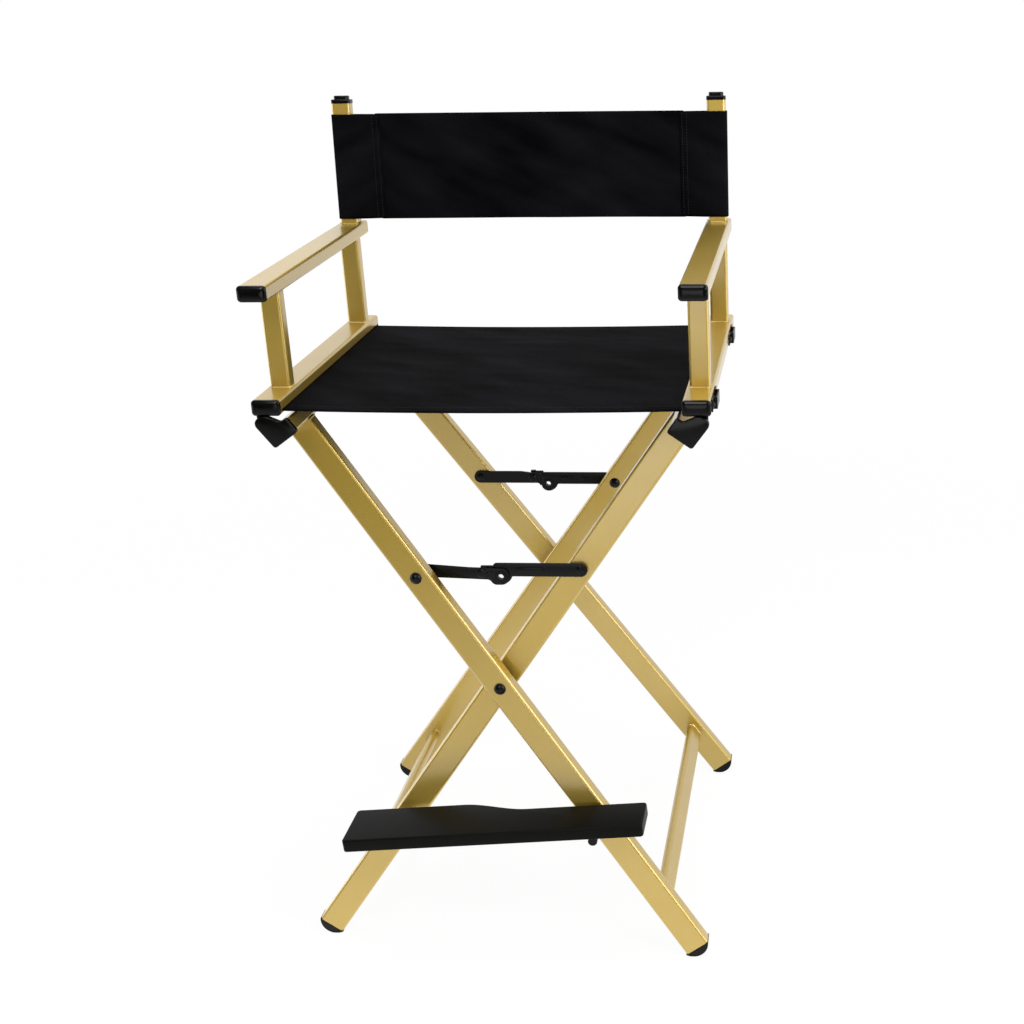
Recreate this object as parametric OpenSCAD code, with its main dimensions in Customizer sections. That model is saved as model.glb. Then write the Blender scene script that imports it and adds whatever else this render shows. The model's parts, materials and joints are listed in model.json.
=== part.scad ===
/* [Overall] */
// Width over the outer faces of the two seat rails
overall_w = 610; // [560:5:660]
// Height of the top face of the seat rails above the floor
seat_h = 810; // [780:5:840]
// Height of the bolts where the legs cross, above the floor
cross_h = 391; // [375:1:405]
// Height of the armrest's top face above the seat rail's top face
arm_rise = 154; // [130:1:200]
// Length of the back posts above the armrests
post_rise = 180; // [150:1:220]
// Length of the seat rails and of the leg rails, front to back
rail_len = 460; // [430:5:500]
// Length of the armrests, front to back
arm_len = 456; // [430:1:500]

/* [Tubes] */
// Width of the flat tube of the seat rails, leg rails and armrests
rail_w = 38; // [34:1:42]
// Height of that flat tube
rail_t = 21; // [19:0.5:23]
// Width of the legs' tube, across the front view
leg_w = 38; // [34:1:42]
// Depth of the legs' tube, front to back
leg_t = 21; // [18:0.5:24]
// Width of the uprights and back posts, across the front view
upright_w = 28; // [24:1:32]
// Depth of the uprights and back posts, front to back
upright_t = 20; // [16:0.5:22]
// Wall of every tube
wall = 1.6; // [1.2:0.1:2.4]
// Outer corner radius of every tube
corner_r = 4; // [2.5:0.5:6]

/* [Side frames] */
// Front face of the front upright behind the rail's front end
front_upright_y = 58; // [40:1:90]
// Rear face of the rear upright before the rail's rear end
rear_upright_set = 28; // [20:1:60]
// Rear face of the back post before the armrest's rear end
post_set = 9; // [4:1:30]
// Lean of the back posts to the rear, in degrees
post_lean = 4.5; // [0:0.5:9]

/* [Legs] */
// Front face of the outer front leg behind the rail's front end, at its top
front_leg_set = 52; // [40:1:70]
// Rear face of the outer rear leg before the rail's rear end
rear_leg_set = 10; // [4:1:24]
// Forward lean of the two front legs, in degrees
front_leg_lean = 8; // [5:0.5:8]
// Gap between the two front legs
front_leg_gap = 17; // [17:0.5:19]
// Gap between the two rear legs
rear_leg_gap = 8; // [7.5:0.5:12]
// Distance from the crossing down to the stretchers, along the leg
stretcher_down = 384; // [300:1:390]
// Long side of the stretcher's flat oval tube
stretcher_w = 30; // [18:1:32]
// Short side of the stretcher's flat oval tube
stretcher_t = 14; // [10:1:18]

/* [Hinges] */
// Hinge pin inward of the seat rail's outer face
pin_inset = 12; // [11:0.5:16]
// Hinge pin below the seat rail's bottom face
pin_drop = 11; // [10.5:0.5:14]
// Hinge pin outward of the leg's centre line
pin_off = 12; // [8:0.5:14]
// Hinge pin above the leg rail's upper face
pin_lift = 13.5; // [13:0.5:18]
// Diameter of the hinge pins
pin_d = 6; // [5:0.5:7]

/* [Braces] */
// Distance from the crossing up to the brace bolts, along the leg
brace_up = 192; // [170:1:215]
// Drop of the brace's middle joint below its two bolts when it is locked
brace_drop = 9.5; // [6:0.5:12]
// Height of a brace bar
bar_w = 18.5; // [14:0.5:20]
// Thickness of a brace bar
bar_t = 2.2; // [1.6:0.1:2.2]
// Outer radius of the round eye at the brace's middle joint
eye_r = 11.5; // [10.5:0.5:12.5]
// Diameter of the hole through the eyelets at the brace's middle joint
eyelet_hole_d = 8; // [5:0.5:9]
// Diameter of the bolts through the legs
bolt_d = 8; // [6:0.5:9]
// Diameter of the round bolt heads
head_d = 17; // [14:0.5:19]

/* [Footrest] */
// Distance from the crossing down to the footrest's pivot, along the leg
pivot_down = 262; // [250:1:275]
// Distance from the crossing down to the peg that carries the footrest
peg_down = 230; // [215:1:245]
// Diameter of the peg
peg_d = 13; // [10:0.5:16]
// Thickness of the board
board_t = 19; // [14:0.5:24]
// Board to the left of its pivot
board_left = 62; // [40:1:75]
// Board to the right of its pivot
board_right = 361; // [330:1:390]
// Depth of the board's narrow right part
board_narrow = 60; // [45:1:75]
// Extra depth of the board's left part
board_step = 20; // [5:1:22]
// Underside of the board above the pivot's axis
board_lift = 10; // [9.5:0.5:14]

/* [Slings] */
// Depth of the seat sling below the seat rail's top face, at its two sides
seat_drop = 15.5; // [13:0.5:15.5]
// Diameter of the rods that hold the sling in the seat rails
rod_d = 4; // [3:0.5:4]
// Sag of the seat sling at its middle
seat_sag = 7; // [3:0.5:14]
// Thickness of the canvas, two layers sewn together
canvas_t = 2.4; // [1.6:0.1:3]
// Height of the back band, along the posts
band_h = 158; // [120:1:170]
// Bottom of the back band above the armrest
band_gap = 4; // [2:0.5:12]
// Seams of the back band's sleeves, from the posts' outer faces
sleeve_w = 66; // [50:1:90]
// Depth of the band's bow to the rear at its middle
band_bow = 5; // [2:0.5:12]

/* [Fittings] */
// Height of the domed front caps of the seat rails and armrests
cap_dome = 7; // [4:0.5:10]
// Length of a table bracket
bracket_len = 66; // [54:1:74]
// Height of a table bracket
bracket_h = 17; // [12:0.5:18]
// Clear gap under the raised loop of a table bracket
loop_gap = 5; // [4:0.5:7]
// Front end of the front table bracket behind the rail's front end
front_bracket_y = 8; // [4:1:20]
// Rear end of the rear table bracket before the rail's rear end
rear_bracket_set = 54; // [20:1:100]
// Height of the foot's dome below the leg's end
foot_dome = 12; // [8:0.5:16]

/* [Hidden] */
$fn = 48;

gold = "#c2a55c";
black = "#17171a";
canvas = "#141416";
steel = "#26262a";

// Clearances: a running fit on a pin, a flat face beside another, cloth beside metal
run_c = 0.05;
face_c = 0.4;
cloth_c = 0.3;
eps = 0.01;

half_w = overall_w / 2;
rail_bottom = seat_h - rail_t;
arm_top = seat_h + arm_rise;
arm_bottom = arm_top - rail_t;

// Hinge pin of the left side, and the angle that puts the leg's line pin_off inside it
pin_x = half_w - pin_inset;
pin_z = rail_bottom - pin_drop;
pin_reach = norm([pin_x, pin_z - cross_h]);
leg_angle = atan2(pin_x, pin_z - cross_h) - asin(pin_off / pin_reach);
pin_up = sqrt(pin_reach * pin_reach - pin_off * pin_off);
leg_rail_mid = pin_up - pin_lift - rail_t / 2;
leg_top = leg_rail_mid - rail_t / 2;

// Foot: an arc over the leg's width, cut flat by foot_cut where it stands on the floor
foot_w = leg_w + 1;
foot_cut = 0.6;
foot_r = (foot_w * foot_w / 4 + foot_dome * foot_dome) / (2 * foot_dome);
leg_end = (cross_h - foot_r + foot_cut) / cos(leg_angle) + foot_r - foot_dome;

// Front faces of the legs: at the crossing for the leaning front legs
lean_k = tan(front_leg_lean);
front_ty = leg_t / cos(front_leg_lean);
ya = front_leg_set - lean_k * leg_top;
yb = ya + front_ty + front_leg_gap;
yd = rail_len - rear_leg_set - leg_t;
yc = yd - rear_leg_gap - leg_t;

// Braces: bars of equal length on bolts along Y, each pair in two layers between the legs
bar_len = norm([brace_up * sin(leg_angle), brace_drop]);
bar_slope = asin(brace_drop / bar_len);
brace_x = brace_up * sin(leg_angle);
brace_z = cross_h + brace_up * cos(leg_angle);
layer_c = 0.4;
washer_c = 0.2;
// The stand-off keeps the folded bar off the back of the leaning leg
front_stand = 8.6;
front_left_y = ya + lean_k * brace_up + front_ty + front_stand;
front_right_y = front_left_y + bar_t + layer_c;
rear_stand = 0.8;
rear_left_y = yd - rear_stand - bar_t;
rear_right_y = yc + leg_t + rear_stand;
tail_len = 28;
tail_h = 9;
tab_at = 24;
tab_w = 8;
tab_c = 0.15;
head_h = 5;
washer_d = 15;
clinch_d = 13;
clinch_h = 2;
eyelet_wall = 1.2;
flange_d = 16;
flange_t = 1;

// Footrest: pivot on the inner front leg, peg on the outer front leg
pivot_x = -pivot_down * sin(leg_angle);
pivot_z = cross_h - pivot_down * cos(leg_angle);
peg_x = peg_down * sin(leg_angle);
peg_z = cross_h - peg_down * cos(leg_angle);
peg_reach = norm([peg_x - pivot_x, peg_z - pivot_z]);
rest_c = 0.3;
board_tilt = atan2(peg_z - pivot_z, peg_x - pivot_x)
    + asin((peg_d / 2 + rest_c - board_lift) / peg_reach);
board_c = 3;
board_back = ya - lean_k * peg_down - board_c;
board_front = board_back - board_narrow;
board_deep = board_back + board_step;
ogee_from = 95;
ogee_to = 190;
board_r = 5;
ear_plate_t = 4;
ear_plate_r = 9;
plate_t = 3;
ear_front_y = board_front + 34;
ear_rear_y = board_back + 6;

// Hinge caps and ears
cap_over = 1.5;
cap_plate = 7;
plug_len = 22;
plug_c = 0.15;
lug_r = 9.5;
ear_t = 5;
ear_r = 8;

// Posts, slings and rods: one layer of canvas wraps each rod inside the rail's channel
post_base_y = arm_len - post_set - upright_t;
rear_upright_y = rail_len - rear_upright_set - upright_t;
rear_bracket_y = rail_len - rear_bracket_set - bracket_len;
post_x = half_w - rail_w / 2;
post_c = 0.3;
band_t = canvas_t;
hem_hole_d = rod_d + 2 * cloth_c;
hem_d = hem_hole_d + canvas_t;
channel_d = hem_d + 2 * cloth_c;
channel_wall = 1.2;
channel_set = wall + channel_d / 2;
slot_h = canvas_t + 2 * cloth_c;
seat_from = 8;
seat_to = rail_len - 8;
full_plug = rail_w - 2 * wall;
short_plug = full_plug - channel_d - channel_wall;
rear_plug_t = 2.5;

// The frame's origin lies midway between the board's front edge and the rear hinge caps
y_mid = (board_front + rail_len + cap_plate) / 2;

module placed() {
    translate([0, -y_mid, 0]) children();
}

// Flat rounded rectangle from squares and circles, centred
module rounded(w, h, r) {
    square([w - 2 * r, h], center = true);
    square([w, h - 2 * r], center = true);
    for (x = [-1, 1], y = [-1, 1])
        translate([x * (w / 2 - r), y * (h / 2 - r)]) circle(r);
}

module tube_section(w, h) {
    difference() {
        rounded(w, h, corner_r);
        rounded(w - 2 * wall, h - 2 * wall, corner_r - wall);
    }
}

// Stands a flat shape up and runs it along Y, from y0 to y1
module along_y(y0, y1) {
    translate([0, y1, 0]) rotate([90, 0, 0]) linear_extrude(y1 - y0) children();
}

module rod_y(d, y0, y1) {
    translate([0, y1, 0]) rotate([90, 0, 0]) cylinder(h = y1 - y0, d = d);
}

// A leg's own frame: origin at the crossing, +Z up along the leg as the front view shows it
module leg_frame(outer) {
    translate([0, 0, cross_h]) rotate([0, outer ? -leg_angle : leg_angle, 0]) children();
}

module leg_body(face_y, lean, solid) {
    depth = leg_t / cos(lean);
    span = leg_top + leg_end;
    spare = 40;
    intersection() {
        translate([0, face_y + depth / 2, 0])
            rotate([-lean, 0, 0])
            translate([0, 0, -leg_end - spare])
            linear_extrude(span + 2 * spare)
            if (solid) rounded(leg_w, leg_t, corner_r);
            else tube_section(leg_w, leg_t);
        translate([-leg_w, face_y - span, -leg_end]) cube([2 * leg_w, 2 * span, span]);
    }
}

// Bolt holes along Y through a leg, each [height on the leg, diameter]
module leg(outer, face_y, lean, holes) {
    color(gold) placed() leg_frame(outer) difference() {
        leg_body(face_y, lean, false);
        for (hole = holes)
            translate([0, 0, hole[0]]) rod_y(hole[1], face_y - leg_top, face_y + leg_top);
    }
}

module outer_front_leg() {
    leg(true, ya, front_leg_lean,
        [[0, bolt_d], [brace_up, bolt_d], [-peg_down, bolt_d]]);
}

module outer_rear_leg() {
    leg(true, yd, 0, [[0, bolt_d], [brace_up, bolt_d]]);
}

module inner_front_leg() {
    leg(false, yb, front_leg_lean,
        [[0, bolt_d + 2 * run_c], [brace_up, bolt_d], [-pivot_down, bolt_d]]);
}

module inner_rear_leg() {
    leg(false, yc, 0, [[0, bolt_d + 2 * run_c], [brace_up, bolt_d]]);
}

module leg_rail(outer) {
    color(gold) placed() leg_frame(outer) translate([0, 0, leg_rail_mid])
        along_y(0, rail_len) tube_section(rail_w, rail_t);
}

module oval(w, t) {
    square([t, w - t], center = true);
    for (z = [-1, 1])
        translate([0, z * (w - t) / 2]) circle(t / 2);
}

// Runs from inside the front leg to the rear leg's front face
module stretcher(outer, front_face, rear_face) {
    color(gold) placed() leg_frame(outer) difference() {
        translate([0, 0, -stretcher_down])
            along_y(front_face - lean_k * stretcher_down + front_ty / 2, rear_face)
            difference() {
                oval(stretcher_w, stretcher_t);
                oval(stretcher_w - 2 * wall, stretcher_t - 2 * wall);
            }
        leg_body(front_face, front_leg_lean, true);
    }
}

module foot_outline() {
    difference() {
        translate([0, foot_r - foot_dome]) circle(foot_r);
        translate([-foot_r * 2, 0]) square([foot_r * 4, foot_r * 4]);
    }
}

// Two caps under the legs' ends, cut flat where they stand on the floor
module feet(outer, front_face, rear_face) {
    over = 0.5;
    front_y = front_face - lean_k * leg_end;
    color(black) placed() difference() {
        leg_frame(outer) translate([0, 0, -leg_end]) {
            along_y(front_y - over, front_y + front_ty + over) foot_outline();
            along_y(rear_face - over, rear_face + leg_t + over) foot_outline();
        }
        translate([-overall_w, -rail_len, -leg_w]) cube([2 * overall_w, 3 * rail_len, leg_w]);
    }
}

// Outline of a hinge cap in the leg's frame, with its lug round the hinge pin
module hinge_outline(side) {
    w = rail_w + 2 * cap_over;
    t = rail_t + 2 * cap_over;
    lug_z = pin_up - leg_rail_mid;
    rounded(w, t, corner_r);
    translate([side * pin_off, lug_z]) circle(lug_r);
    polygon([
        [side * w / 2, 0], [side * (pin_off + lug_r), lug_z], [side * (pin_off - lug_r), lug_z],
        [-side * w / 4, t / 2], [-side * w / 4, 0]
    ]);
}

// Front and rear caps of a leg rail: plug, end plate and lug with its pin hole
module hinge_caps(outer) {
    side = outer ? -1 : 1;
    color(black) placed() leg_frame(outer) {
        for (rear = [0, 1])
            translate([0, rear * rail_len, 0]) mirror([0, rear, 0]) difference() {
                translate([0, 0, leg_rail_mid]) {
                    along_y(-cap_plate, 0) hinge_outline(side);
                    along_y(0, plug_len)
                        rounded(rail_w - 2 * wall - 2 * plug_c, rail_t - 2 * wall - 2 * plug_c,
                            corner_r - wall);
                }
                translate([side * pin_off, 0, pin_up]) rod_y(pin_d, -cap_plate + 2, 1);
            }
    }
}

module hinge_pins(outer) {
    side = outer ? -1 : 1;
    color(steel) placed() leg_frame(outer)
        for (rear = [0, 1])
            translate([side * pin_off, rear * rail_len, pin_up]) mirror([0, rear, 0])
                rod_y(pin_d, -cap_plate + 2, face_c + ear_t);
}

module dome_head(d, h) {
    rotate_extrude() intersection() {
        translate([0, h - d * d / (8 * h) - h / 2]) circle(d * d / (8 * h) + h / 2);
        square([d / 2, h]);
    }
}

// Round head whose back is at y, facing the front (dir = -1) or the rear (dir = 1)
module head_y(y, dir, d = head_d, h = head_h) {
    translate([0, y, 0]) rotate([dir * -90, 0, 0]) dome_head(d, h);
}

// Domed head in front, shank through both legs, domed nut behind
module crossing_bolts() {
    lean_room = head_d / 2 * lean_k + face_c;
    nut_y = yb + front_ty + lean_room;
    color(black) placed() leg_frame(true) {
        difference() {
            union() {
                head_y(ya - 0.5, -1);
                rod_y(head_d, ya - 0.5, ya + leg_t / 2);
                rod_y(bolt_d, ya - 0.5, nut_y + 1);
                head_y(nut_y, 1);
            }
            difference() {
                leg_body(ya, front_leg_lean, true);
                rod_y(bolt_d, ya - leg_t, ya + 2 * leg_t);
            }
        }
        head_y(yc - face_c, -1);
        rod_y(bolt_d, yc - face_c - 1, yd + leg_t + 1);
        head_y(yd + leg_t, 1);
    }
}

// Spacer rings fixed to the inner legs, which keep the pairs of legs apart
module crossing_spacers() {
    ring_d = 20;
    lean_room = ring_d / 2 * lean_k + face_c;
    hole_d = bolt_d + 2 * run_c;
    color(black) placed() leg_frame(false) {
        difference() {
            rod_y(ring_d, ya + front_ty + lean_room, yb + front_ty / 2);
            rod_y(hole_d, ya, yb + leg_t);
            leg_body(yb, front_leg_lean, true);
        }
        difference() {
            rod_y(ring_d, yc + leg_t, yd - face_c);
            rod_y(hole_d, yc, yd);
        }
    }
}

// A bolt along Y: head at y_head, shank, washer up to the bar, clinched end beyond the bar
module brace_bolt(y_head, dir, y_leg, y_bar) {
    bar_near = dir < 0 ? y_bar : y_bar + bar_t;
    bar_far = dir < 0 ? y_bar + bar_t + washer_c : y_bar - washer_c;
    washer_end = bar_near + dir * washer_c;
    head_y(y_head, dir);
    rod_y(bolt_d, min(y_head, bar_far), max(y_head, bar_far));
    rod_y(washer_d, min(y_leg, washer_end), max(y_leg, washer_end));
    head_y(bar_far, -dir, clinch_d, clinch_h);
}

// Front brace bolts are trimmed to fit the leaning legs
module front_brace_bolt(outer, face_y, dir, y_bar) {
    front_at = face_y + lean_k * brace_up;
    y_head = dir < 0 ? front_at - 0.5 : front_at + front_ty + 0.5;
    leg_frame(outer) difference() {
        translate([0, 0, brace_up]) {
            brace_bolt(y_head, dir, front_at + front_ty / 2, y_bar);
            rod_y(head_d, min(y_head, front_at + front_ty / 2),
                max(y_head, front_at + front_ty / 2));
        }
        difference() {
            leg_body(face_y, front_leg_lean, true);
            translate([0, 0, brace_up]) rod_y(bolt_d, face_y - leg_top, face_y + leg_top);
        }
    }
}

module outer_brace_bolts() {
    color(black) placed() {
        front_brace_bolt(true, ya, -1, front_left_y);
        translate([-brace_x, 0, brace_z]) brace_bolt(yd + leg_t, 1, yd, rear_left_y);
    }
}

module inner_brace_bolts() {
    color(black) placed() {
        front_brace_bolt(false, yb, 1, front_right_y);
        translate([brace_x, 0, brace_z]) brace_bolt(yc, -1, yc + leg_t, rear_right_y);
    }
}

// Bar outline: bolt eye at the origin, middle eye at [bar_len, 0]
module bar_outline() {
    difference() {
        union() {
            translate([0, -bar_w / 2]) square([bar_len, bar_w]);
            circle(bar_w / 2);
            translate([bar_len, 0]) circle(eye_r);
        }
        circle(bolt_d / 2 + run_c);
        translate([bar_len, 0]) circle(eyelet_hole_d / 2 + eyelet_wall);
    }
}

// A bar's own frame: origin on its bolt, +X to the middle joint
module bar_frame(side) {
    translate([side * brace_x, 0, brace_z])
        rotate([0, -side * bar_slope, 0])
        mirror([side > 0 ? 1 : 0, 0, 0])
        children();
}

module left_bar(y) {
    color(steel) placed() bar_frame(-1) along_y(y, y + bar_t) bar_outline();
}

// Right bar, with a tail whose bent tab lies on the left bar's top edge and locks the brace
module right_bar(y, y_left) {
    color(steel) placed() {
        bar_frame(1) along_y(y, y + bar_t) {
            bar_outline();
            translate([bar_len + eye_r - 2, -tail_h / 2])
                square([tail_len - eye_r + 2, tail_h]);
        }
        bar_frame(-1) translate([bar_len - tab_at - tab_w / 2, 0, 0]) {
            along_y(y, y + bar_t) square([tab_w, bar_w / 2 + tab_c + bar_t]);
            translate([0, 0, bar_w / 2 + tab_c])
                along_y(min(y, y_left), max(y, y_left) + bar_t) square([tab_w, bar_t]);
        }
    }
}

// Eyelet pressed into one bar's middle eye, its flange on the face away from the other bar
module eyelet(side, y, dir) {
    barrel_d = eyelet_hole_d + 2 * eyelet_wall;
    color(steel) placed() bar_frame(side) translate([bar_len, 0, 0]) difference() {
        union() {
            rod_y(barrel_d, y, y + bar_t);
            rod_y(flange_d, dir < 0 ? y - flange_t : y + bar_t, dir < 0 ? y : y + bar_t + flange_t);
        }
        rod_y(eyelet_hole_d, y - 2 * flange_t, y + bar_t + 2 * flange_t);
    }
}

module footrest_peg() {
    peg_front = board_front + 6;
    color(black) placed() leg_frame(true) difference() {
        translate([0, 0, -peg_down]) {
            rod_y(peg_d, peg_front, ya - lean_k * peg_down + front_ty / 2);
            rod_y(bolt_d, peg_front + 5, ya - lean_k * peg_down + front_ty + 2);
            head_y(ya - lean_k * peg_down + front_ty + 0.6, 1, 14, 4);
        }
        difference() {
            leg_body(ya, front_leg_lean, true);
            translate([0, 0, -peg_down]) rod_y(bolt_d, ya - leg_end, ya + leg_end);
        }
    }
}

// Shouldered bolt on the inner front leg that carries the footrest's bracket
module footrest_pivot_bolt() {
    leg_face = yb - lean_k * pivot_down;
    shoulder_d = 14;
    color(black) placed() leg_frame(false) difference() {
        translate([0, 0, -pivot_down]) {
            rod_y(shoulder_d, ear_rear_y + ear_plate_t / 2 + face_c, leg_face + front_ty / 2);
            rod_y(bolt_d, ear_front_y - ear_plate_t / 2 - 3, leg_face + front_ty + 2);
            head_y(ear_front_y - ear_plate_t / 2 - face_c, -1, 14, 4);
            head_y(leg_face + front_ty + 0.8, 1, 14, 4);
        }
        difference() {
            leg_body(yb, front_leg_lean, true);
            translate([0, 0, -pivot_down]) rod_y(bolt_d, yb - leg_end, yb + leg_end);
        }
    }
}

// Footrest's frame: origin on the pivot's axis, +X along the board
module board_frame() {
    translate([pivot_x, 0, pivot_z]) rotate([0, -board_tilt, 0]) children();
}

function ogee(x) =
    let (s = min(1, max(0, (x - ogee_from) / (ogee_to - ogee_from))))
    board_deep - board_step * s * s * (3 - 2 * s);

module board_outline() {
    steps = 16;
    x1 = -board_left;
    x2 = board_right;
    curve = [for (i = [0:steps]) let (x = ogee_from + (ogee_to - ogee_from) * i / steps)
        [x, ogee(x)]];
    difference() {
        polygon(concat([[x1, board_front]], [[x1, board_deep]], curve,
            [[x2, board_back], [x2, board_front]]));
        translate([x1, board_front]) corner_cut(0);
        translate([x2, board_front]) corner_cut(90);
        translate([x2, board_back]) corner_cut(180);
        translate([x1, board_deep]) corner_cut(270);
    }
}

module corner_cut(turn) {
    rotate(turn) difference() {
        translate([-1, -1]) square(board_r + 1);
        translate([board_r, board_r]) circle(board_r);
    }
}

module footrest_board() {
    color(black) placed() board_frame()
        translate([0, 0, board_lift]) linear_extrude(board_t) board_outline();
}

// Steel plate under the board with two ears on the pivot bolt
module footrest_bracket() {
    half_len = 24;
    color(steel) placed() board_frame() difference() {
        union() {
            translate([-half_len, ear_front_y - ear_plate_t / 2, board_lift - plate_t])
                cube([2 * half_len, ear_rear_y - ear_front_y + ear_plate_t, plate_t]);
            for (y = [ear_front_y, ear_rear_y])
                along_y(y - ear_plate_t / 2, y + ear_plate_t / 2) {
                    circle(ear_plate_r);
                    translate([-ear_plate_r, 0])
                        square([2 * ear_plate_r, board_lift - plate_t / 2]);
                }
        }
        rod_y(bolt_d + 2 * run_c, board_front, board_deep);
    }
}

module footrest_screws() {
    color(steel) placed() board_frame()
        for (x = [-17, 17], y = [ear_front_y + 9, ear_rear_y - 9])
            translate([x, y, board_lift - plate_t]) mirror([0, 0, 1]) dome_head(8, 2.2);
}

// Left and right side frames share these modules: side is -1 or 1
module rail_x(side) {
    translate([side * (half_w - rail_w / 2), 0, 0]) children();
}

module channel_place(side) {
    translate([side * (half_w - rail_w + channel_set), 0, seat_h - seat_drop]) children();
}

// Seat rail with the channel that holds the sling's rod, open to the inner face
module seat_rail(side) {
    color(gold) placed() difference() {
        union() {
            rail_x(side) translate([0, 0, seat_h - rail_t / 2]) along_y(0, rail_len)
                tube_section(rail_w, rail_t);
            channel_place(side) along_y(0, rail_len) circle(channel_d / 2 + channel_wall);
        }
        channel_place(side) along_y(-1, rail_len + 1) {
            circle(channel_d / 2);
            translate([-side * channel_set, 0])
                square([2 * channel_set, slot_h], center = true);
        }
    }
}

module seat_rod(side) {
    color(steel) placed() channel_place(side) rod_y(rod_d, seat_from, seat_to);
}

module armrest(side) {
    color(gold) placed() rail_x(side) translate([0, 0, arm_top - rail_t / 2])
        along_y(0, arm_len) tube_section(rail_w, rail_t);
}

module upright(side, y) {
    color(gold) placed() rail_x(side) translate([0, y + upright_t / 2, seat_h])
        linear_extrude(arm_bottom - seat_h) tube_section(upright_w, upright_t);
}

// A back post's own frame: origin at its base on the armrest, +Z along the post
module post_frame(side) {
    rail_x(side) translate([0, post_base_y + upright_t / 2, arm_top])
        rotate([-post_lean, 0, 0]) children();
}

module back_post(side) {
    color(gold) placed() difference() {
        post_frame(side) translate([0, 0, -upright_t])
            linear_extrude(post_rise + upright_t) tube_section(upright_w, upright_t);
        rail_x(side) translate([-rail_w, 0, arm_top - 2 * rail_w])
            cube([2 * rail_w, 2 * arm_len, 2 * rail_w]);
    }
}

// Two-step cap with a plug in the post
module post_cap(side) {
    color(black) placed() post_frame(side) translate([0, 0, post_rise]) {
        translate([0, 0, -12]) linear_extrude(12 + eps)
            rounded(upright_w - 2 * wall - 2 * plug_c, upright_t - 2 * wall - 2 * plug_c,
                corner_r - wall);
        linear_extrude(6) rounded(upright_w + 1, upright_t + 1, corner_r);
        translate([0, 0, 6 - eps]) linear_extrude(5.5)
            rounded(upright_w - 6, upright_t - 5, 5);
    }
}

// Half outline of a dome: straight for the first part, then an arc of the full width
module dome_side(w) {
    straight = 1.5;
    rise = cap_dome - straight;
    r = (w * w / 4 + rise * rise) / (2 * rise);
    mirror([0, 1]) intersection() {
        translate([0, cap_dome - r]) circle(r);
        translate([-w / 2, 0]) square([w, cap_dome]);
    }
}

// Domed front cap with a plug that fits the tube
module front_cap(side, z, plug_w) {
    w = rail_w + 1;
    t = rail_t + 1;
    color(black) placed() rail_x(side) translate([0, 0, z - rail_t / 2]) {
        translate([side * (full_plug - plug_w) / 2, 0, 0]) along_y(-eps, plug_len)
            rounded(plug_w - 2 * plug_c, rail_t - 2 * wall - 2 * plug_c, corner_r - wall);
        intersection() {
            along_y(-cap_dome, 0) rounded(w, t, corner_r);
            linear_extrude(rail_t, center = true) dome_side(w);
            rotate([0, 90, 0]) linear_extrude(rail_w, center = true) dome_side(t);
        }
    }
}

// Flat plugs in the rear ends of the armrest and the seat rail
module rear_plugs(side) {
    color(black) placed() rail_x(side) {
        translate([0, arm_len, arm_top - rail_t / 2]) rear_plug(side, full_plug);
        translate([0, rail_len, seat_h - rail_t / 2]) rear_plug(side, short_plug);
    }
}

module rear_plug(side, plug_w) {
    along_y(0, rear_plug_t) rounded(rail_w - 0.6, rail_t - 0.6, corner_r);
    translate([side * (full_plug - plug_w) / 2, 0, 0]) along_y(-plug_len, eps)
        rounded(plug_w - 2 * plug_c, rail_t - 2 * wall - 2 * plug_c, corner_r - wall);
}

// Steel ears under the seat rail's ends, bored for the hinge pins
module hinge_ears(side) {
    color(steel) placed()
        for (rear = [0, 1])
            translate([side * pin_x, rear * rail_len, 0]) mirror([0, rear, 0])
                along_y(face_c, face_c + ear_t) difference() {
                    union() {
                        translate([0, pin_z]) circle(ear_r);
                        translate([-ear_r, pin_z]) square([2 * ear_r, pin_drop]);
                    }
                    translate([0, pin_z]) circle(pin_d / 2 + run_c);
                }
}

// Pressed steel strap with a raised loop in its middle, seen from above, on the right rail
module bracket_outline() {
    foot = 17;
    leg = 3;
    t = 2;
    square([t, foot]);
    translate([0, bracket_len - foot]) square([t, foot]);
    translate([loop_gap, foot - t]) square([t, bracket_len - 2 * foot + 2 * t]);
    for (y = [foot - t, bracket_len - foot])
        translate([0, y]) square([loop_gap + t, t]);
}

function bracket_z() = seat_h - rail_t / 2;

module table_brackets() {
    color(black) placed() translate([half_w, 0, 0])
        for (y = [front_bracket_y, rear_bracket_y])
            translate([0, y, bracket_z() - bracket_h / 2])
                linear_extrude(bracket_h) bracket_outline();
}

module bracket_screws() {
    color(steel) placed() translate([half_w + 2, 0, 0])
        for (y = [front_bracket_y, rear_bracket_y], end = [8, bracket_len - 8])
            translate([0, y + end, bracket_z()]) rotate([0, 90, 0]) dome_head(9, 2.6);
}

// Canvas between the seat rails: a sagging panel that ends in hems round the two rods
module seat_sling() {
    span = half_w - rail_w - cloth_c;
    hem_x = half_w - rail_w + channel_set;
    neck = asin(canvas_t / hem_d);
    steps = 24;
    top = [for (i = [0:steps]) let (u = -1 + 2 * i / steps)
        [u * span, canvas_t / 2 - seat_sag * (1 - u * u)]];
    bottom = [for (i = [steps:-1:0]) [top[i][0], top[i][1] - canvas_t]];
    right_hem = arc(hem_x, 0, hem_d / 2, 180 - neck, neck - 180, 16);
    left_hem = arc(-hem_x, 0, hem_d / 2, -neck, neck - 360, 16);
    color(canvas) placed() translate([0, 0, seat_h - seat_drop])
        along_y(seat_from, seat_to) difference() {
            polygon(concat(top, right_hem, bottom, left_hem));
            for (side = [-1, 1])
                translate([side * hem_x, 0]) circle(hem_hole_d / 2);
        }
}

function arc(x, y, r, from, to, steps) =
    [for (i = [0:steps]) let (a = from + (to - from) * i / steps)
        [x + r * cos(a), y + r * sin(a)]];

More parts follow.
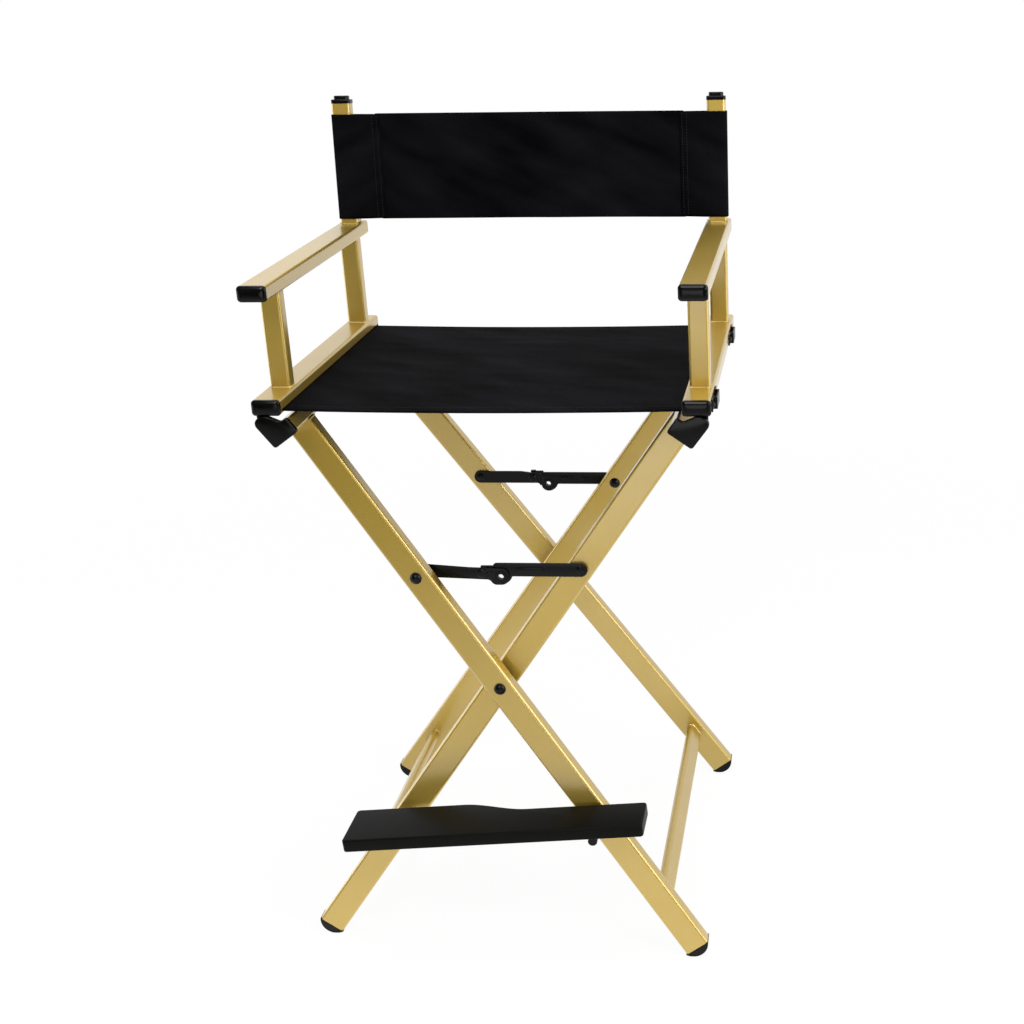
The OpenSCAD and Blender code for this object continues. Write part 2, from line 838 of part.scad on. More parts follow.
function mirrored_back(points) =
    [for (i = [len(points) - 1:-1:0]) [-points[i][0], points[i][1]]];

// Plan of the back band: sleeves round the posts, and a panel that bows to the rear
module band_plan() {
    ow = upright_w / 2 + post_c + band_t;
    ot = upright_t / 2 + post_c + band_t;
    steps = 24;
    seam_x = half_w - (rail_w - upright_w) / 2 - sleeve_w;
    back = [for (i = [0:steps]) let (u = -1 + 2 * i / steps)
        [u * seam_x, band_t / 2 + band_bow * (1 - u * u)]];
    front = [for (i = [steps:-1:0]) [back[i][0], back[i][1] - band_t]];
    sleeve = sleeve_outline(ow, ot, corner_r + band_t, ow - 4);
    hollow = concat([[seam_x + 12, 0.5]],
        sleeve_outline(ow - band_t, ot - band_t, corner_r + post_c, ow - band_t),
        [[seam_x + 12, -0.5]]);
    difference() {
        polygon(concat(back, sleeve, front, mirrored_back(sleeve)));
        polygon(hollow);
        polygon(mirrored_back(hollow));
    }
}

// Points round the right post, from the rear to the front, starting "inner" inside its centre
function sleeve_outline(w, t, r, inner) = concat(
    [[post_x - inner, t]],
    arc(post_x + w - r, t - r, r, 90, 0, 6),
    arc(post_x + w - r, r - t, r, 0, -90, 6),
    [[post_x - inner, -t]]);

module back_sling() {
    color(canvas) placed() translate([0, post_base_y + upright_t / 2, arm_top])
        rotate([-post_lean, 0, 0]) translate([0, 0, band_gap + 2])
        linear_extrude(band_h) band_plan();
}

outer_front_leg();
outer_rear_leg();
leg_rail(true);  // outer_leg_rail
stretcher(true, ya, yd);  // outer_stretcher
feet(true, ya, yd);  // outer_feet
hinge_caps(true);  // outer_hinge_caps
hinge_pins(true);  // left_hinge_pins
crossing_bolts();
outer_brace_bolts();
footrest_peg();
inner_front_leg();
inner_rear_leg();
leg_rail(false);  // inner_leg_rail
stretcher(false, yb, yc);  // inner_stretcher
feet(false, yb, yc);  // inner_feet
hinge_caps(false);  // inner_hinge_caps
hinge_pins(false);  // right_hinge_pins
crossing_spacers();
inner_brace_bolts();
footrest_pivot_bolt();
seat_rail(-1);  // left_seat_rail
armrest(-1);  // left_armrest
upright(-1, front_upright_y);  // left_front_upright
upright(-1, rear_upright_y);  // left_rear_upright
back_post(-1);  // left_back_post
post_cap(-1);  // left_post_cap
front_cap(-1, arm_top, full_plug);  // left_armrest_cap
front_cap(-1, seat_h, short_plug);  // left_seat_rail_cap
rear_plugs(-1);  // left_rear_plugs
hinge_ears(-1);  // left_hinge_ears
seat_rod(-1);  // left_seat_rod
seat_rail(1);  // right_seat_rail
armrest(1);  // right_armrest
upright(1, front_upright_y);  // right_front_upright
upright(1, rear_upright_y);  // right_rear_upright
back_post(1);  // right_back_post
post_cap(1);  // right_post_cap
front_cap(1, arm_top, full_plug);  // right_armrest_cap
front_cap(1, seat_h, short_plug);  // right_seat_rail_cap
rear_plugs(1);  // right_rear_plugs
hinge_ears(1);  // right_hinge_ears
table_brackets();  // right_table_brackets
bracket_screws();  // right_bracket_screws
seat_rod(1);  // right_seat_rod
seat_sling();
back_sling();
left_bar(front_left_y);  // front_left_brace_bar
right_bar(front_right_y, front_left_y);  // front_right_brace_bar
left_bar(rear_left_y);  // rear_left_brace_bar
right_bar(rear_right_y, rear_left_y);  // rear_right_brace_bar
eyelet(-1, front_left_y, -1);  // front_left_eyelet
eyelet(1, front_right_y, 1);  // front_right_eyelet
eyelet(-1, rear_left_y, 1);  // rear_left_eyelet
eyelet(1, rear_right_y, -1);  // rear_right_eyelet
footrest_board();
footrest_bracket();
footrest_screws();
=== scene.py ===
# %% [markdown]
# # A tall directors chair
#
# The chair folds sideways: two crossed leg frames carry two side frames, and canvas hangs between them.
# The CAD model already holds every tube, bolt and bar at its real size, so Blender's work is the surface:
# moulded caps, weld seams, cloth, stitching, finishes and light.
# Every new piece rides on the CAD body that carries it, so it follows the chair when it folds.

import json
from math import asin, atan2, cos, hypot, pi, radians, sin, tan

import bmesh
import bpy
from mathutils import Matrix, Vector, noise

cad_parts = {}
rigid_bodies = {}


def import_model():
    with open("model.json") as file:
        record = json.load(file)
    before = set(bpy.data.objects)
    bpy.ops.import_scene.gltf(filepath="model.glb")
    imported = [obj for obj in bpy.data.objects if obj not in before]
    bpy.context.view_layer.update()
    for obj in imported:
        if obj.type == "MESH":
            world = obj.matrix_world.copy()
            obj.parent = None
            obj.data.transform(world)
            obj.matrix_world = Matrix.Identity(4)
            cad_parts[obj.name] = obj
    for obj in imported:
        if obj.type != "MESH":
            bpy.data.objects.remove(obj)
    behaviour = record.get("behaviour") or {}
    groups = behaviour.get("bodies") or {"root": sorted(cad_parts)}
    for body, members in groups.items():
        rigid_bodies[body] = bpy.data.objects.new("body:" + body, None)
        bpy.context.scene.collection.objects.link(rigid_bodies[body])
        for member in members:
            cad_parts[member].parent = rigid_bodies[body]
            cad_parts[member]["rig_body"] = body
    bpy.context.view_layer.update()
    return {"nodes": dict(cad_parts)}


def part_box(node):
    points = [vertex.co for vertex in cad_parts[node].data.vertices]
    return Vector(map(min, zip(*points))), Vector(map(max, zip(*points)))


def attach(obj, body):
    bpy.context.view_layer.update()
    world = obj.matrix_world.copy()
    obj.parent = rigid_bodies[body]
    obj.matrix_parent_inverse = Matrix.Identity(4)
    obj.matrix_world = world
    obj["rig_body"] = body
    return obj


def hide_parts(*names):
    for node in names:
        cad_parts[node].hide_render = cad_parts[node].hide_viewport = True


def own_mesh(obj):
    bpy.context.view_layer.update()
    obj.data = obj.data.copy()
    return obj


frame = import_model()

# %% [markdown]
# ## Where things are
#
# The drawing counts millimetres from the front end of the seat rails. The frame counts metres, with its
# origin near the middle of the chair. One matrix turns the first into the second, and a few more carry the
# tilted places: a leg's own frame, a back post's and the footrest's.

# %% Sizes from the drawing, in millimetres
RAIL_W, RAIL_T, RAIL_LEN, ARM_LEN = 38, 21, 460, 456
LEG_W, LEG_T, UPRIGHT_W, UPRIGHT_T = 38, 21, 28, 20
SEAT_H, ARM_TOP, CROSS_H = 810, 964, 391
RAIL_MID_X = 286
CORNER_R = 4
FRONT_LEAN, POST_LEAN = radians(8), radians(4.5)
POST_Y, POST_RISE = 437, 180
FRONT_UPRIGHT_Y, REAR_UPRIGHT_Y = 58, 412
PIN_X, PIN_H, PIN_OFF, PIN_UP_FROM_RAIL = 293, 778, 12, 24
STRETCHER_DOWN, STRETCHER_W, STRETCHER_T, STRETCHER_R = 384, 30, 14, 7
FRONT_LEG_Y, FRONT_GAP, REAR_GAP, REAR_MARGIN = 52, 17, 8, 10
FOOT_W, FOOT_DOME, FOOT_CUT = 39, 12, 0.6

pin_rise = PIN_H - CROSS_H
pin_reach = hypot(PIN_X, pin_rise)
LEG_ANGLE = atan2(PIN_X, pin_rise) - asin(PIN_OFF / pin_reach)
PIN_UP = (pin_reach ** 2 - PIN_OFF ** 2) ** 0.5
LEG_RAIL_MID = PIN_UP - PIN_UP_FROM_RAIL
LEG_TOP = LEG_RAIL_MID - RAIL_T / 2
FOOT_R = (FOOT_W ** 2 / 4 + FOOT_DOME ** 2) / (2 * FOOT_DOME)
LEG_END = (CROSS_H - FOOT_R + FOOT_CUT) / cos(LEG_ANGLE) + FOOT_R - FOOT_DOME
LEAN = tan(FRONT_LEAN)
FRONT_DEPTH = LEG_T / cos(FRONT_LEAN)
FACE_A = FRONT_LEG_Y - LEAN * LEG_TOP
FACE_B = FACE_A + FRONT_DEPTH + FRONT_GAP
FACE_D = RAIL_LEN - REAR_MARGIN - LEG_T
FACE_C = FACE_D - REAR_GAP - LEG_T
print("leg angle", round(LEG_ANGLE * 180 / pi, 2))
print("leg faces", [round(y, 1) for y in (FACE_A, FACE_B, FACE_C, FACE_D)])

# %% Places on the frame and on a leg
RAIL_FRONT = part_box("left_seat_rail")[0].y
PLACE = Matrix.Translation((0, RAIL_FRONT, 0)) @ Matrix.Diagonal((0.001, 0.001, 0.001, 1))
UP, DOWN = Matrix.Identity(4), Matrix.Rotation(pi, 4, "X")
FORWARD, BACKWARD = Matrix.Rotation(pi / 2, 4, "X"), Matrix.Rotation(-pi / 2, 4, "X")
HANDS = (("left", -1), ("right", 1))
LEG_FRAMES = (("outer", -1, FACE_A, FACE_D), ("inner", 1, FACE_B, FACE_C))


def at(x, y, z, turn=UP):
    return PLACE @ Matrix.Translation((x, y, z)) @ turn


def on_leg(side, x, y, z, turn=UP):
    leaning = at(0, 0, CROSS_H) @ Matrix.Rotation(side * LEG_ANGLE, 4, "Y")
    return leaning @ Matrix.Translation((x, y, z)) @ turn


def on_post(side, x, y, z, turn=UP):
    leaning = at(side * RAIL_MID_X, POST_Y, ARM_TOP) @ Matrix.Rotation(-POST_LEAN, 4, "X")
    return leaning @ Matrix.Translation((x, y, z)) @ turn


print("rails start at", round(RAIL_FRONT, 4), "m")

# %% Places on the footrest
PIVOT_DOWN, PEG_DOWN, PEG_R, PEG_GAP = 262, 230, 6.5, 0.3
BOARD_UNDER, BOARD_OFF_LEG, BOARD_W = 10, 3, 60

pivot = (-PIVOT_DOWN * sin(LEG_ANGLE), CROSS_H - PIVOT_DOWN * cos(LEG_ANGLE))
peg = (PEG_DOWN * sin(LEG_ANGLE), CROSS_H - PEG_DOWN * cos(LEG_ANGLE))
run, climb = peg[0] - pivot[0], peg[1] - pivot[1]
BOARD_TILT = atan2(climb, run) + asin((PEG_R + PEG_GAP - BOARD_UNDER) / hypot(run, climb))
BOARD_BACK = FACE_A - LEAN * PEG_DOWN - BOARD_OFF_LEG
BOARD_FRONT = BOARD_BACK - BOARD_W


def on_board(x, y, z):
    return at(pivot[0], 0, pivot[1]) @ Matrix.Rotation(-BOARD_TILT, 4, "Y") @ Matrix.Translation((x, y, z))


print("footrest tilt", round(BOARD_TILT * 180 / pi, 2), "front edge", round(BOARD_FRONT, 1))

# %% [markdown]
# ## Finishes
#
# A material is a small graph of nodes. One helper adds a node, sets it up and links it, so each finish below
# reads as a recipe. Colours are written as hex, as a paint chart would, and turned to linear light once. The
# nodes that every recipe uses have a short name of their own: a sum, a ramp, a mapping, a noise, two tones.


# %% Node and colour helpers
def linear(hex_colour):
    parts = [int(hex_colour[i:i + 2], 16) / 255 for i in (1, 3, 5)]
    return [p / 12.92 if p <= 0.04045 else ((p + 0.055) / 1.055) ** 2.4 for p in parts] + [1]


def connect(tree, socket, value):
    if isinstance(value, bpy.types.NodeSocket):
        tree.links.new(value, socket)
    else:
        socket.default_value = value


def add(tree, kind, settings=None, **inputs):
    """Adds a node. An input is named, with _ for a space, or numbered, as in _0."""
    node = tree.nodes.new(kind)
    for name, value in (settings or {}).items():
        setattr(node, name, value)
    for name, value in inputs.items():
        connect(tree, node.inputs[int(name[1:]) if name[1:].isdigit() else name.replace("_", " ")], value)
    return node


def reckon(tree, operation, *terms, clamp=False):
    """One sum, such as MULTIPLY_ADD: the first term times the second, plus the third."""
    inputs = {"_" + str(i): term for i, term in enumerate(terms)}
    return add(tree, "ShaderNodeMath", {"operation": operation, "use_clamp": clamp}, **inputs).outputs[0]


def ramp(tree, value, low, high, at_low=0.0, at_high=1.0):
    return add(tree, "ShaderNodeMapRange", Value=value, From_Min=low, From_Max=high, To_Min=at_low,
               To_Max=at_high).outputs[0]


def mapped(tree, where, scale=(1, 1, 1), turn=(0, 0, 0)):
    return add(tree, "ShaderNodeMapping", Vector=where, Scale=scale, Rotation=turn).outputs[0]


def speckle(tree, where, scale, detail=2.0):
    return add(tree, "ShaderNodeTexNoise", Vector=where, Scale=scale, Detail=detail).outputs["Fac"]


def two_tones(tree, share, first, second):
    return add(tree, "ShaderNodeMix", {"data_type": "RGBA"}, Factor=share, _6=linear(first),
               _7=linear(second)).outputs["Result"]


# %% A bare finish
def empty_tree(owner):
    owner.use_nodes = True
    owner.node_tree.nodes.clear()
    return owner.node_tree


def finish(name):
    material = bpy.data.materials.new(name)
    tree = empty_tree(material)
    surface = add(tree, "ShaderNodeBsdfPrincipled")
    add(tree, "ShaderNodeOutputMaterial", Surface=surface.outputs[0])
    return material, tree, surface


def dress(tree, surface, **inputs):
    for name, value in inputs.items():
        connect(tree, surface.inputs[name.replace("_", " ")], value)


print("white reads as", linear("#ffffff"))

# %% [markdown]
# ### Satin anodised aluminium
#
# The tubes are extruded aluminium, etched matt and dyed gold in the anodising bath. The etched metal is
# rough, so its gold changes little from face to face. The sealed oxide over it is a clear hard skin, smoother
# than the metal and denser than varnish: it adds a pale sheen that grows as a face turns away. Extrusion
# leaves faint lines along each tube, so the pattern is stretched along that tube's own axis, one copy for
# each direction.

# %% Gold tube finish
GOLD = "#bca046"
GOLD_DEEP = "#b3963b"
OXIDE_IOR = 1.76


def anodised(name, turn=(0, 0, 0), rough=0.5):
    material, tree, surface = finish(name)
    where = add(tree, "ShaderNodeTexCoord").outputs["Object"]
    # Lines 0.8 mm apart and 200 mm long
    line = speckle(tree, mapped(tree, mapped(tree, where, turn=turn), scale=(1250, 1250, 5)), 1.0)
    # Etched grain of about 0.3 mm, drawn at 1.5 mm so that it shows, and soft clouds of the dye 60 mm wide.
    # The grain is finer than the sheen above it, so it varies the tone and leaves the surface smooth.
    grain = speckle(tree, where, 660.0, 1.0)
    cloud = speckle(tree, where, 16.0)
    share = reckon(tree, "SUBTRACT", reckon(tree, "MULTIPLY_ADD", grain, 0.6, cloud), 0.3, clamp=True)
    roughness = reckon(tree, "MULTIPLY_ADD", line, 0.06, rough - 0.03)
    dress(tree, surface, Base_Color=two_tones(tree, share, GOLD, GOLD_DEEP), Roughness=roughness,
          Metallic=1.0, Coat_Weight=1.0, Coat_Roughness=0.2, Coat_IOR=OXIDE_IOR)
    return material


GOLD_ALONG_Y = anodised("satin_anodised_rails", (pi / 2, 0, 0))
GOLD_UPRIGHT = anodised("satin_anodised_uprights")
GOLD_OUTER_LEG = anodised("satin_anodised_outer_legs", (0, LEG_ANGLE, 0))
GOLD_INNER_LEG = anodised("satin_anodised_inner_legs", (0, -LEG_ANGLE, 0))
GOLD_WELD = anodised("anodised_weld_seam", rough=0.55)
print("gold finishes made", GOLD, GOLD_DEEP)

# %% [markdown]
# ### Moulded nylon, black oxide steel and the board
#
# Caps and feet are injection-moulded nylon: black through and through, with a fine spark-eroded grain that
# spreads the highlight. The bars and brackets are steel with a black oxide coat, a little less glossy, whose
# tone drifts slightly from place to place. The footrest is a board with a satin black paint that fills most
# of the wood's grain, so only long shallow lines remain.


# %% Black finishes
def black_finish(name, colour, pale, rough, specular, grain_mm, grain_depth, stretch=(1, 1, 1)):
    material, tree, surface = finish(name)
    where = add(tree, "ShaderNodeTexCoord").outputs["Object"]
    grain = speckle(tree, mapped(tree, where, scale=stretch), 1000.0 / grain_mm)
    drift = speckle(tree, where, 30.0)
    uneven = reckon(tree, "MULTIPLY_ADD", drift, 0.14, rough - 0.07)
    bump = add(tree, "ShaderNodeBump", Strength=0.35, Distance=grain_depth, Height=grain)
    dress(tree, surface, Base_Color=two_tones(tree, drift, colour, pale), Roughness=uneven,
          Normal=bump.outputs[0], Specular_IOR_Level=specular)
    return material


NYLON = black_finish("moulded_black_nylon", "#030303", "#070706", 0.2, 0.16, 0.7, 0.00005)
STEEL = black_finish("black_oxide_steel", "#040405", "#09090a", 0.26, 0.14, 1.2, 0.00005)
BOARD = black_finish("satin_black_board", "#040403", "#090908", 0.4, 0.06, 2.5, 0.0002, (0.05, 1, 1))
THREAD = black_finish("black_polyester_thread", "#101012", "#1a1a1d", 0.5, 0.2, 0.5, 0.0001)
print("black finishes made", [m.name for m in (NYLON, STEEL, BOARD, THREAD)])

# %% [markdown]
# ### Cotton canvas
#
# Heavy canvas is a plain weave: one thread over, one under, both ways. Its threads are about 0.8 mm apart,
# finer than a pixel here, so the weave is drawn 1.6 mm apart. Dyed black, it has hardly any highlight: it
# shows its folds by a slight change of tone, and soft lighter patches slanted like the folds are painted
# sheen on its creases. The pattern follows the cloth through its UV map.

# %% Canvas finish
WEAVE_MM = 1.6


def canvas_finish(name):
    material, tree, surface = finish(name)
    uv = add(tree, "ShaderNodeTexCoord").outputs["UV"]
    split = add(tree, "ShaderNodeSeparateXYZ", Vector=uv)
    turns = 2 * pi * 1000 / WEAVE_MM
    waves = []
    for axis in ("X", "Y"):
        waves.append(reckon(tree, "SINE", reckon(tree, "MULTIPLY", split.outputs[axis], turns)))
    # Uneven threads: slubs 12 mm long. Soft lighter patches about 60 by 200 mm, slanted as folds are, are
    # painted sheen on the creases
    slubs = speckle(tree, mapped(tree, uv, scale=(80, 900, 1)), 1.0)
    marks = speckle(tree, mapped(tree, mapped(tree, uv, turn=(0, 0, 0.45)), scale=(5, 17, 1)), 1.0)
    fold_sheen = ramp(tree, marks, 0.35, 0.68)
    height = reckon(tree, "MULTIPLY_ADD", slubs, 0.8, reckon(tree, "MULTIPLY", waves[0], waves[1]))
    bump = add(tree, "ShaderNodeBump", Strength=0.5, Distance=0.00025, Height=height)
    # The lighter of the two base tones, laid on by the slanted patches, is painted sheen on the creases
    dress(tree, surface, Base_Color=two_tones(tree, fold_sheen, "#030304", "#101013"), Roughness=0.78,
          Normal=bump.outputs[0], Specular_IOR_Level=0.02)
    return material


CANVAS = canvas_finish("black_cotton_canvas")
print("weave drawn every", WEAVE_MM, "mm")

# %% [markdown]
# ## Making pieces
#
# Caps, welds and the board all start the same way: a flat outline whose corners are rounded by a vertex
# bevel, pushed out one or more times, with its rim rounded by an edge bevel. That is how such parts are
# really drawn for a mould, and it keeps the meshes light and closed.


# %% Outline, push and rim helpers
def bevel(shape, geom, by, segments, affect="EDGES"):
    bmesh.ops.bevel(shape, geom=geom, offset=by, offset_type="OFFSET", segments=segments, profile=0.5,
                    affect=affect, material=-1, clamp_overlap=True)


def outline(corners, segments=6):
    """One face through corner points in millimetres, each (x, y, radius)."""
    shape = bmesh.new()
    verts = [shape.verts.new((x, y, 0)) for x, y, _ in corners]
    shape.faces.new(verts)
    for (_, _, r), vert in zip(corners, verts):
        if r:
            bevel(shape, [vert], r, segments, "VERTICES")
    return shape


def box_outline(w, h, r, segments=6):
    corners = [(-w / 2, -h / 2, r), (w / 2, -h / 2, r), (w / 2, h / 2, r), (-w / 2, h / 2, r)]
    return outline(corners, segments)


def only(kind, geom):
    return [g for g in geom if isinstance(g, kind)]


def everything(shape):
    return shape.verts[:] + shape.edges[:] + shape.faces[:]


def push(shape, by, narrower=(1.0, 1.0)):
    """Extrudes the outermost face by that many millimetres, and draws it in. Returns the new face."""
    shape.faces.ensure_lookup_table()
    face = max(shape.faces, key=lambda f: f.calc_center_median().z)
    made = bmesh.ops.extrude_face_region(shape, geom=[face])["geom"]
    verts = only(bmesh.types.BMVert, made)
    bmesh.ops.translate(shape, verts=verts, vec=(0, 0, by))
    bmesh.ops.scale(shape, verts=verts, vec=(narrower[0], narrower[1], 1))
    return only(bmesh.types.BMFace, made)[0]


def push_in_steps(shape, half_w, half_h, steps):
    """Domes a face: each step says how far out it reaches and how far in its rim is by then."""
    out, inset = 0.0, 0.0
    for reach, draw_in in steps:
        narrower = ((half_w - draw_in) / (half_w - inset), (half_h - draw_in) / (half_h - inset))
        push(shape, reach - out, narrower)
        out, inset = reach, draw_in
    return shape


def both_rims(shape, far):
    near = min(shape.faces, key=lambda f: f.calc_center_median().z)
    return list(set(far.edges) | set(near.edges))


def close_back(shape):
    bmesh.ops.holes_fill(shape, edges=[e for e in shape.edges if e.is_boundary], sides=0)


# %% Turning shapes into pieces that ride on the chair
def put_in_scene(name, data):
    obj = bpy.data.objects.new(name, data)
    bpy.context.scene.collection.objects.link(obj)
    return obj


def as_object(name, shape, material, sharp=None):
    """A smooth object of one material, with the edges that turn by more than sharp degrees kept crisp."""
    mesh = bpy.data.meshes.new(name)
    shape.to_mesh(mesh)
    shape.free()
    mesh.shade_smooth()
    if sharp:
        mesh.set_sharp_from_angle(angle=radians(sharp))
    mesh.materials.append(material)
    return put_in_scene(name, mesh)


def carried(obj, body, stands_for):
    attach(obj, body)
    if stands_for:
        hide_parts(*stands_for)
    return obj


def piece(name, shapes, material, body, stands_for=(), sharp=38):
    """Puts each (shape, place) where it belongs, joins them and lets the whole ride on a CAD body."""
    whole = bmesh.new()
    for shape, place in shapes:
        close_back(shape)
        bmesh.ops.transform(shape, matrix=place, verts=shape.verts)
        bmesh.ops.recalc_face_normals(shape, faces=shape.faces)
        part = bpy.data.meshes.new("part")
        shape.to_mesh(part)
        shape.free()
        whole.from_mesh(part)
        bpy.data.meshes.remove(part)
    return carried(as_object(name, whole, material, sharp), body, stands_for)


# %% [markdown]
# ## Tubes and steelwork
#
# The CAD nodes carry these shapes exactly, but as loose triangles, which can't be shaded smoothly. A copy of
# each is merged and its flat faces are joined. The steel parts also get a small bevel on their sharp edges,
# because a real edge is never perfectly sharp and the thin highlight along it is what makes metal look solid.
# The weighted normals keep the flats flat beside the rounded corners.


# %% Polished copies of the CAD nodes
def polished(node, material, bevel_mm=0.0):
    source = frame["nodes"][node]
    shape = bmesh.new()
    shape.from_mesh(source.data)
    bmesh.ops.remove_doubles(shape, verts=shape.verts, dist=0.000002)
    bmesh.ops.dissolve_limit(shape, angle_limit=radians(0.4), verts=shape.verts, edges=shape.edges)
    obj = as_object(node + "_dressed", shape, material, 32)
    if bevel_mm:
        edge = obj.modifiers.new("broken_edges", "BEVEL")
        edge.width = bevel_mm / 1000
        edge.segments = 2
        edge.limit_method = "ANGLE"
        edge.angle_limit = radians(40)
    flats = obj.modifiers.new("flat_faces", "WEIGHTED_NORMAL")
    flats.keep_sharp = True
    return carried(obj, source["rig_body"], [node])


tubes = {}
for legs, gold in (("outer", GOLD_OUTER_LEG), ("inner", GOLD_INNER_LEG)):
    tubes.update({legs + "_front_leg": gold, legs + "_rear_leg": gold, legs + "_leg_rail": GOLD_ALONG_Y,
                  legs + "_stretcher": GOLD_ALONG_Y})
for hand, _ in HANDS:
    tubes.update({hand + "_seat_rail": GOLD_ALONG_Y, hand + "_armrest": GOLD_ALONG_Y,
                  hand + "_front_upright": GOLD_UPRIGHT, hand + "_rear_upright": GOLD_UPRIGHT,
                  hand + "_back_post": GOLD_UPRIGHT})
for node, gold in tubes.items():
    polished(node, gold)
print(len(tubes), "tubes dressed")

# %% Steelwork, with the width of its broken edges in millimetres
steelwork = {
    "crossing_bolts": 0.4, "crossing_spacers": 0.5, "outer_brace_bolts": 0.4, "inner_brace_bolts": 0.4,
    "footrest_peg": 1.2, "footrest_pivot_bolt": 0.5, "footrest_bracket": 0.5, "footrest_screws": 0,
    "left_hinge_pins": 0, "right_hinge_pins": 0, "right_table_brackets": 0.5, "right_bracket_screws": 0,
}
for hand, _ in HANDS:
    steelwork.update({hand + "_hinge_ears": 0.5, hand + "_seat_rod": 0, "front_" + hand + "_eyelet": 0.25,
                      "rear_" + hand + "_eyelet": 0.25})
for node, edge_mm in steelwork.items():
    polished(node, STEEL, edge_mm)
print(len(steelwork), "steel nodes dressed")

# %% [markdown]
# ## Moulded caps
#
# Each tube ends in a nylon cap pushed into it. The front caps of the armrests and seat rails are domed: the
# outline goes straight out, then steps in faster and faster, as a quarter of an ellipse does. The plugs at
# the rear are plain, and a back post ends in a wide plug with a narrow one on it.

# %% Domed front caps and plain plugs
DOME = ((2.2, 0.0), (3.6, 0.5), (4.9, 1.6), (5.9, 3.3), (6.6, 5.6), (7.0, 8.4))
CAP_W, CAP_T, CAP_R = RAIL_W + 1, RAIL_T + 0.8, 5
PLUG_W, PLUG_T, PLUG_DEPTH = RAIL_W - 0.6, RAIL_T - 0.6, 2.5
POST_PLUG_STEP = 5.6


def domed_cap():
    return push_in_steps(box_outline(CAP_W, CAP_T, CAP_R), CAP_W / 2, CAP_T / 2, DOME)


def plain_plug(w, h, r, depth, rim):
    shape = box_outline(w, h, r)
    bevel(shape, list(push(shape, depth).edges), rim, 3)
    return shape


for hand, side in HANDS:
    body, x, rear_plugs = hand + "_side_frame", side * RAIL_MID_X, []
    for part, top, length in (("armrest", ARM_TOP, ARM_LEN), ("seat_rail", SEAT_H, RAIL_LEN)):
        middle = top - RAIL_T / 2
        piece(hand + "_" + part + "_cap_moulded", [(domed_cap(), at(x, 0, middle, FORWARD))],
              NYLON, body, [hand + "_" + part + "_cap"], sharp=60)
        plug = plain_plug(PLUG_W, PLUG_T, CORNER_R, PLUG_DEPTH, 1.1)
        rear_plugs.append((plug, at(x, length, middle, BACKWARD)))
    piece(hand + "_rear_plugs_moulded", rear_plugs, NYLON, body, [hand + "_rear_plugs"])
    lower = plain_plug(UPRIGHT_W + 1, UPRIGHT_T + 1, CORNER_R, 6, 1.2)
    upper = plain_plug(UPRIGHT_W - 6, UPRIGHT_T - 5, 5, 5.9, 1.4)
    post_cap = [(lower, on_post(side, 0, 0, POST_RISE)),
                (upper, on_post(side, 0, 0, POST_RISE + POST_PLUG_STEP))]
    piece(hand + "_post_cap_moulded", post_cap, NYLON, body, [hand + "_post_cap"])
print("domed caps reach", DOME[-1][0], "mm")

# %% [markdown]
# The leg rails' caps carry a lug that reaches up to the hinge pin, so their outline is a house with a round
# gable. The feet are cut from a disc: only its lower arc shows under the leg, and the floor cuts it flat.

# %% Hinge caps and feet
CAP_OVER, LUG_R, HINGE_CAP_T = 1.5, 9.5, 7


def hinge_cap(side):
    half_w, half_t = RAIL_W / 2 + CAP_OVER, RAIL_T / 2 + CAP_OVER
    lug, gable = side * PIN_OFF, PIN_UP_FROM_RAIL + LUG_R
    corners = [(-side * half_w, -half_t, 4), (side * half_w, -half_t, 4), (lug + side * LUG_R, gable, 9.2),
               (lug - side * LUG_R, gable, 9.2), (-side * half_w / 2, half_t, 3),
               (-side * half_w, half_t, 4)]
    shape = outline(corners if side > 0 else corners[::-1])
    bevel(shape, list(push(shape, HINGE_CAP_T).edges), 1.5, 3)
    return shape


def hinge_cap_rear(side):
    shape = hinge_cap(side)
    bmesh.ops.mirror(shape, geom=everything(shape), axis="Z", merge_dist=-1)
    bmesh.ops.delete(shape, geom=[v for v in shape.verts if v.co.z > 0.001], context="VERTS")
    return shape


def foot(depth, place):
    shape = bmesh.new()
    bmesh.ops.create_circle(shape, cap_ends=True, segments=72, radius=FOOT_R,
                            matrix=Matrix.Translation((0, FOOT_R - FOOT_DOME, 0)))
    bmesh.ops.bisect_plane(shape, geom=everything(shape), plane_co=(0, -0.01, 0), plane_no=(0, 1, 0),
                           clear_outer=True)
    bevel(shape, both_rims(shape, push(shape, depth)), 1.3, 3)
    bmesh.ops.transform(shape, matrix=place, verts=shape.verts)
    bmesh.ops.bisect_plane(shape, geom=everything(shape), plane_co=(0, 0, 0), plane_no=(0, 0, -1),
                           clear_outer=True)
    return shape


for legs, side, front, rear in LEG_FRAMES:
    body = legs + "_legs"
    caps = [(hinge_cap(side), on_leg(side, 0, 0, LEG_RAIL_MID, FORWARD)),
            (hinge_cap_rear(side), on_leg(side, 0, RAIL_LEN, LEG_RAIL_MID, FORWARD))]
    piece(legs + "_hinge_caps_moulded", caps, NYLON, body, [legs + "_hinge_caps"])
    front_back = front - LEAN * LEG_END + FRONT_DEPTH + 0.5
    feet = [(foot(FRONT_DEPTH + 1, on_leg(side, 0, front_back, -LEG_END, FORWARD)), UP),
            (foot(LEG_T + 1, on_leg(side, 0, rear + LEG_T + 0.5, -LEG_END, FORWARD)), UP)]
    piece(legs + "_feet_moulded", feet, NYLON, body, [legs + "_feet"], sharp=50)

# %% [markdown]
# ## Weld seams
#
# Where an upright meets a rail the tubes are welded all round before anodising, and the seam takes the dye
# too. A seam is a small concave skirt with ripples about 2 mm apart, one for each pause of the torch. Here
# the tube's outline is drawn a little larger, its straight sides are cut fine, and it is pushed up in steps.

# %% Weld seams
SEAM, RIPPLE, SINK = 1.7, 2.1, 0.2
SEAM_STEPS = ((0.35, 0.1), (0.8, 0.5), (1.3, 1.15), (1.8, 1.75))


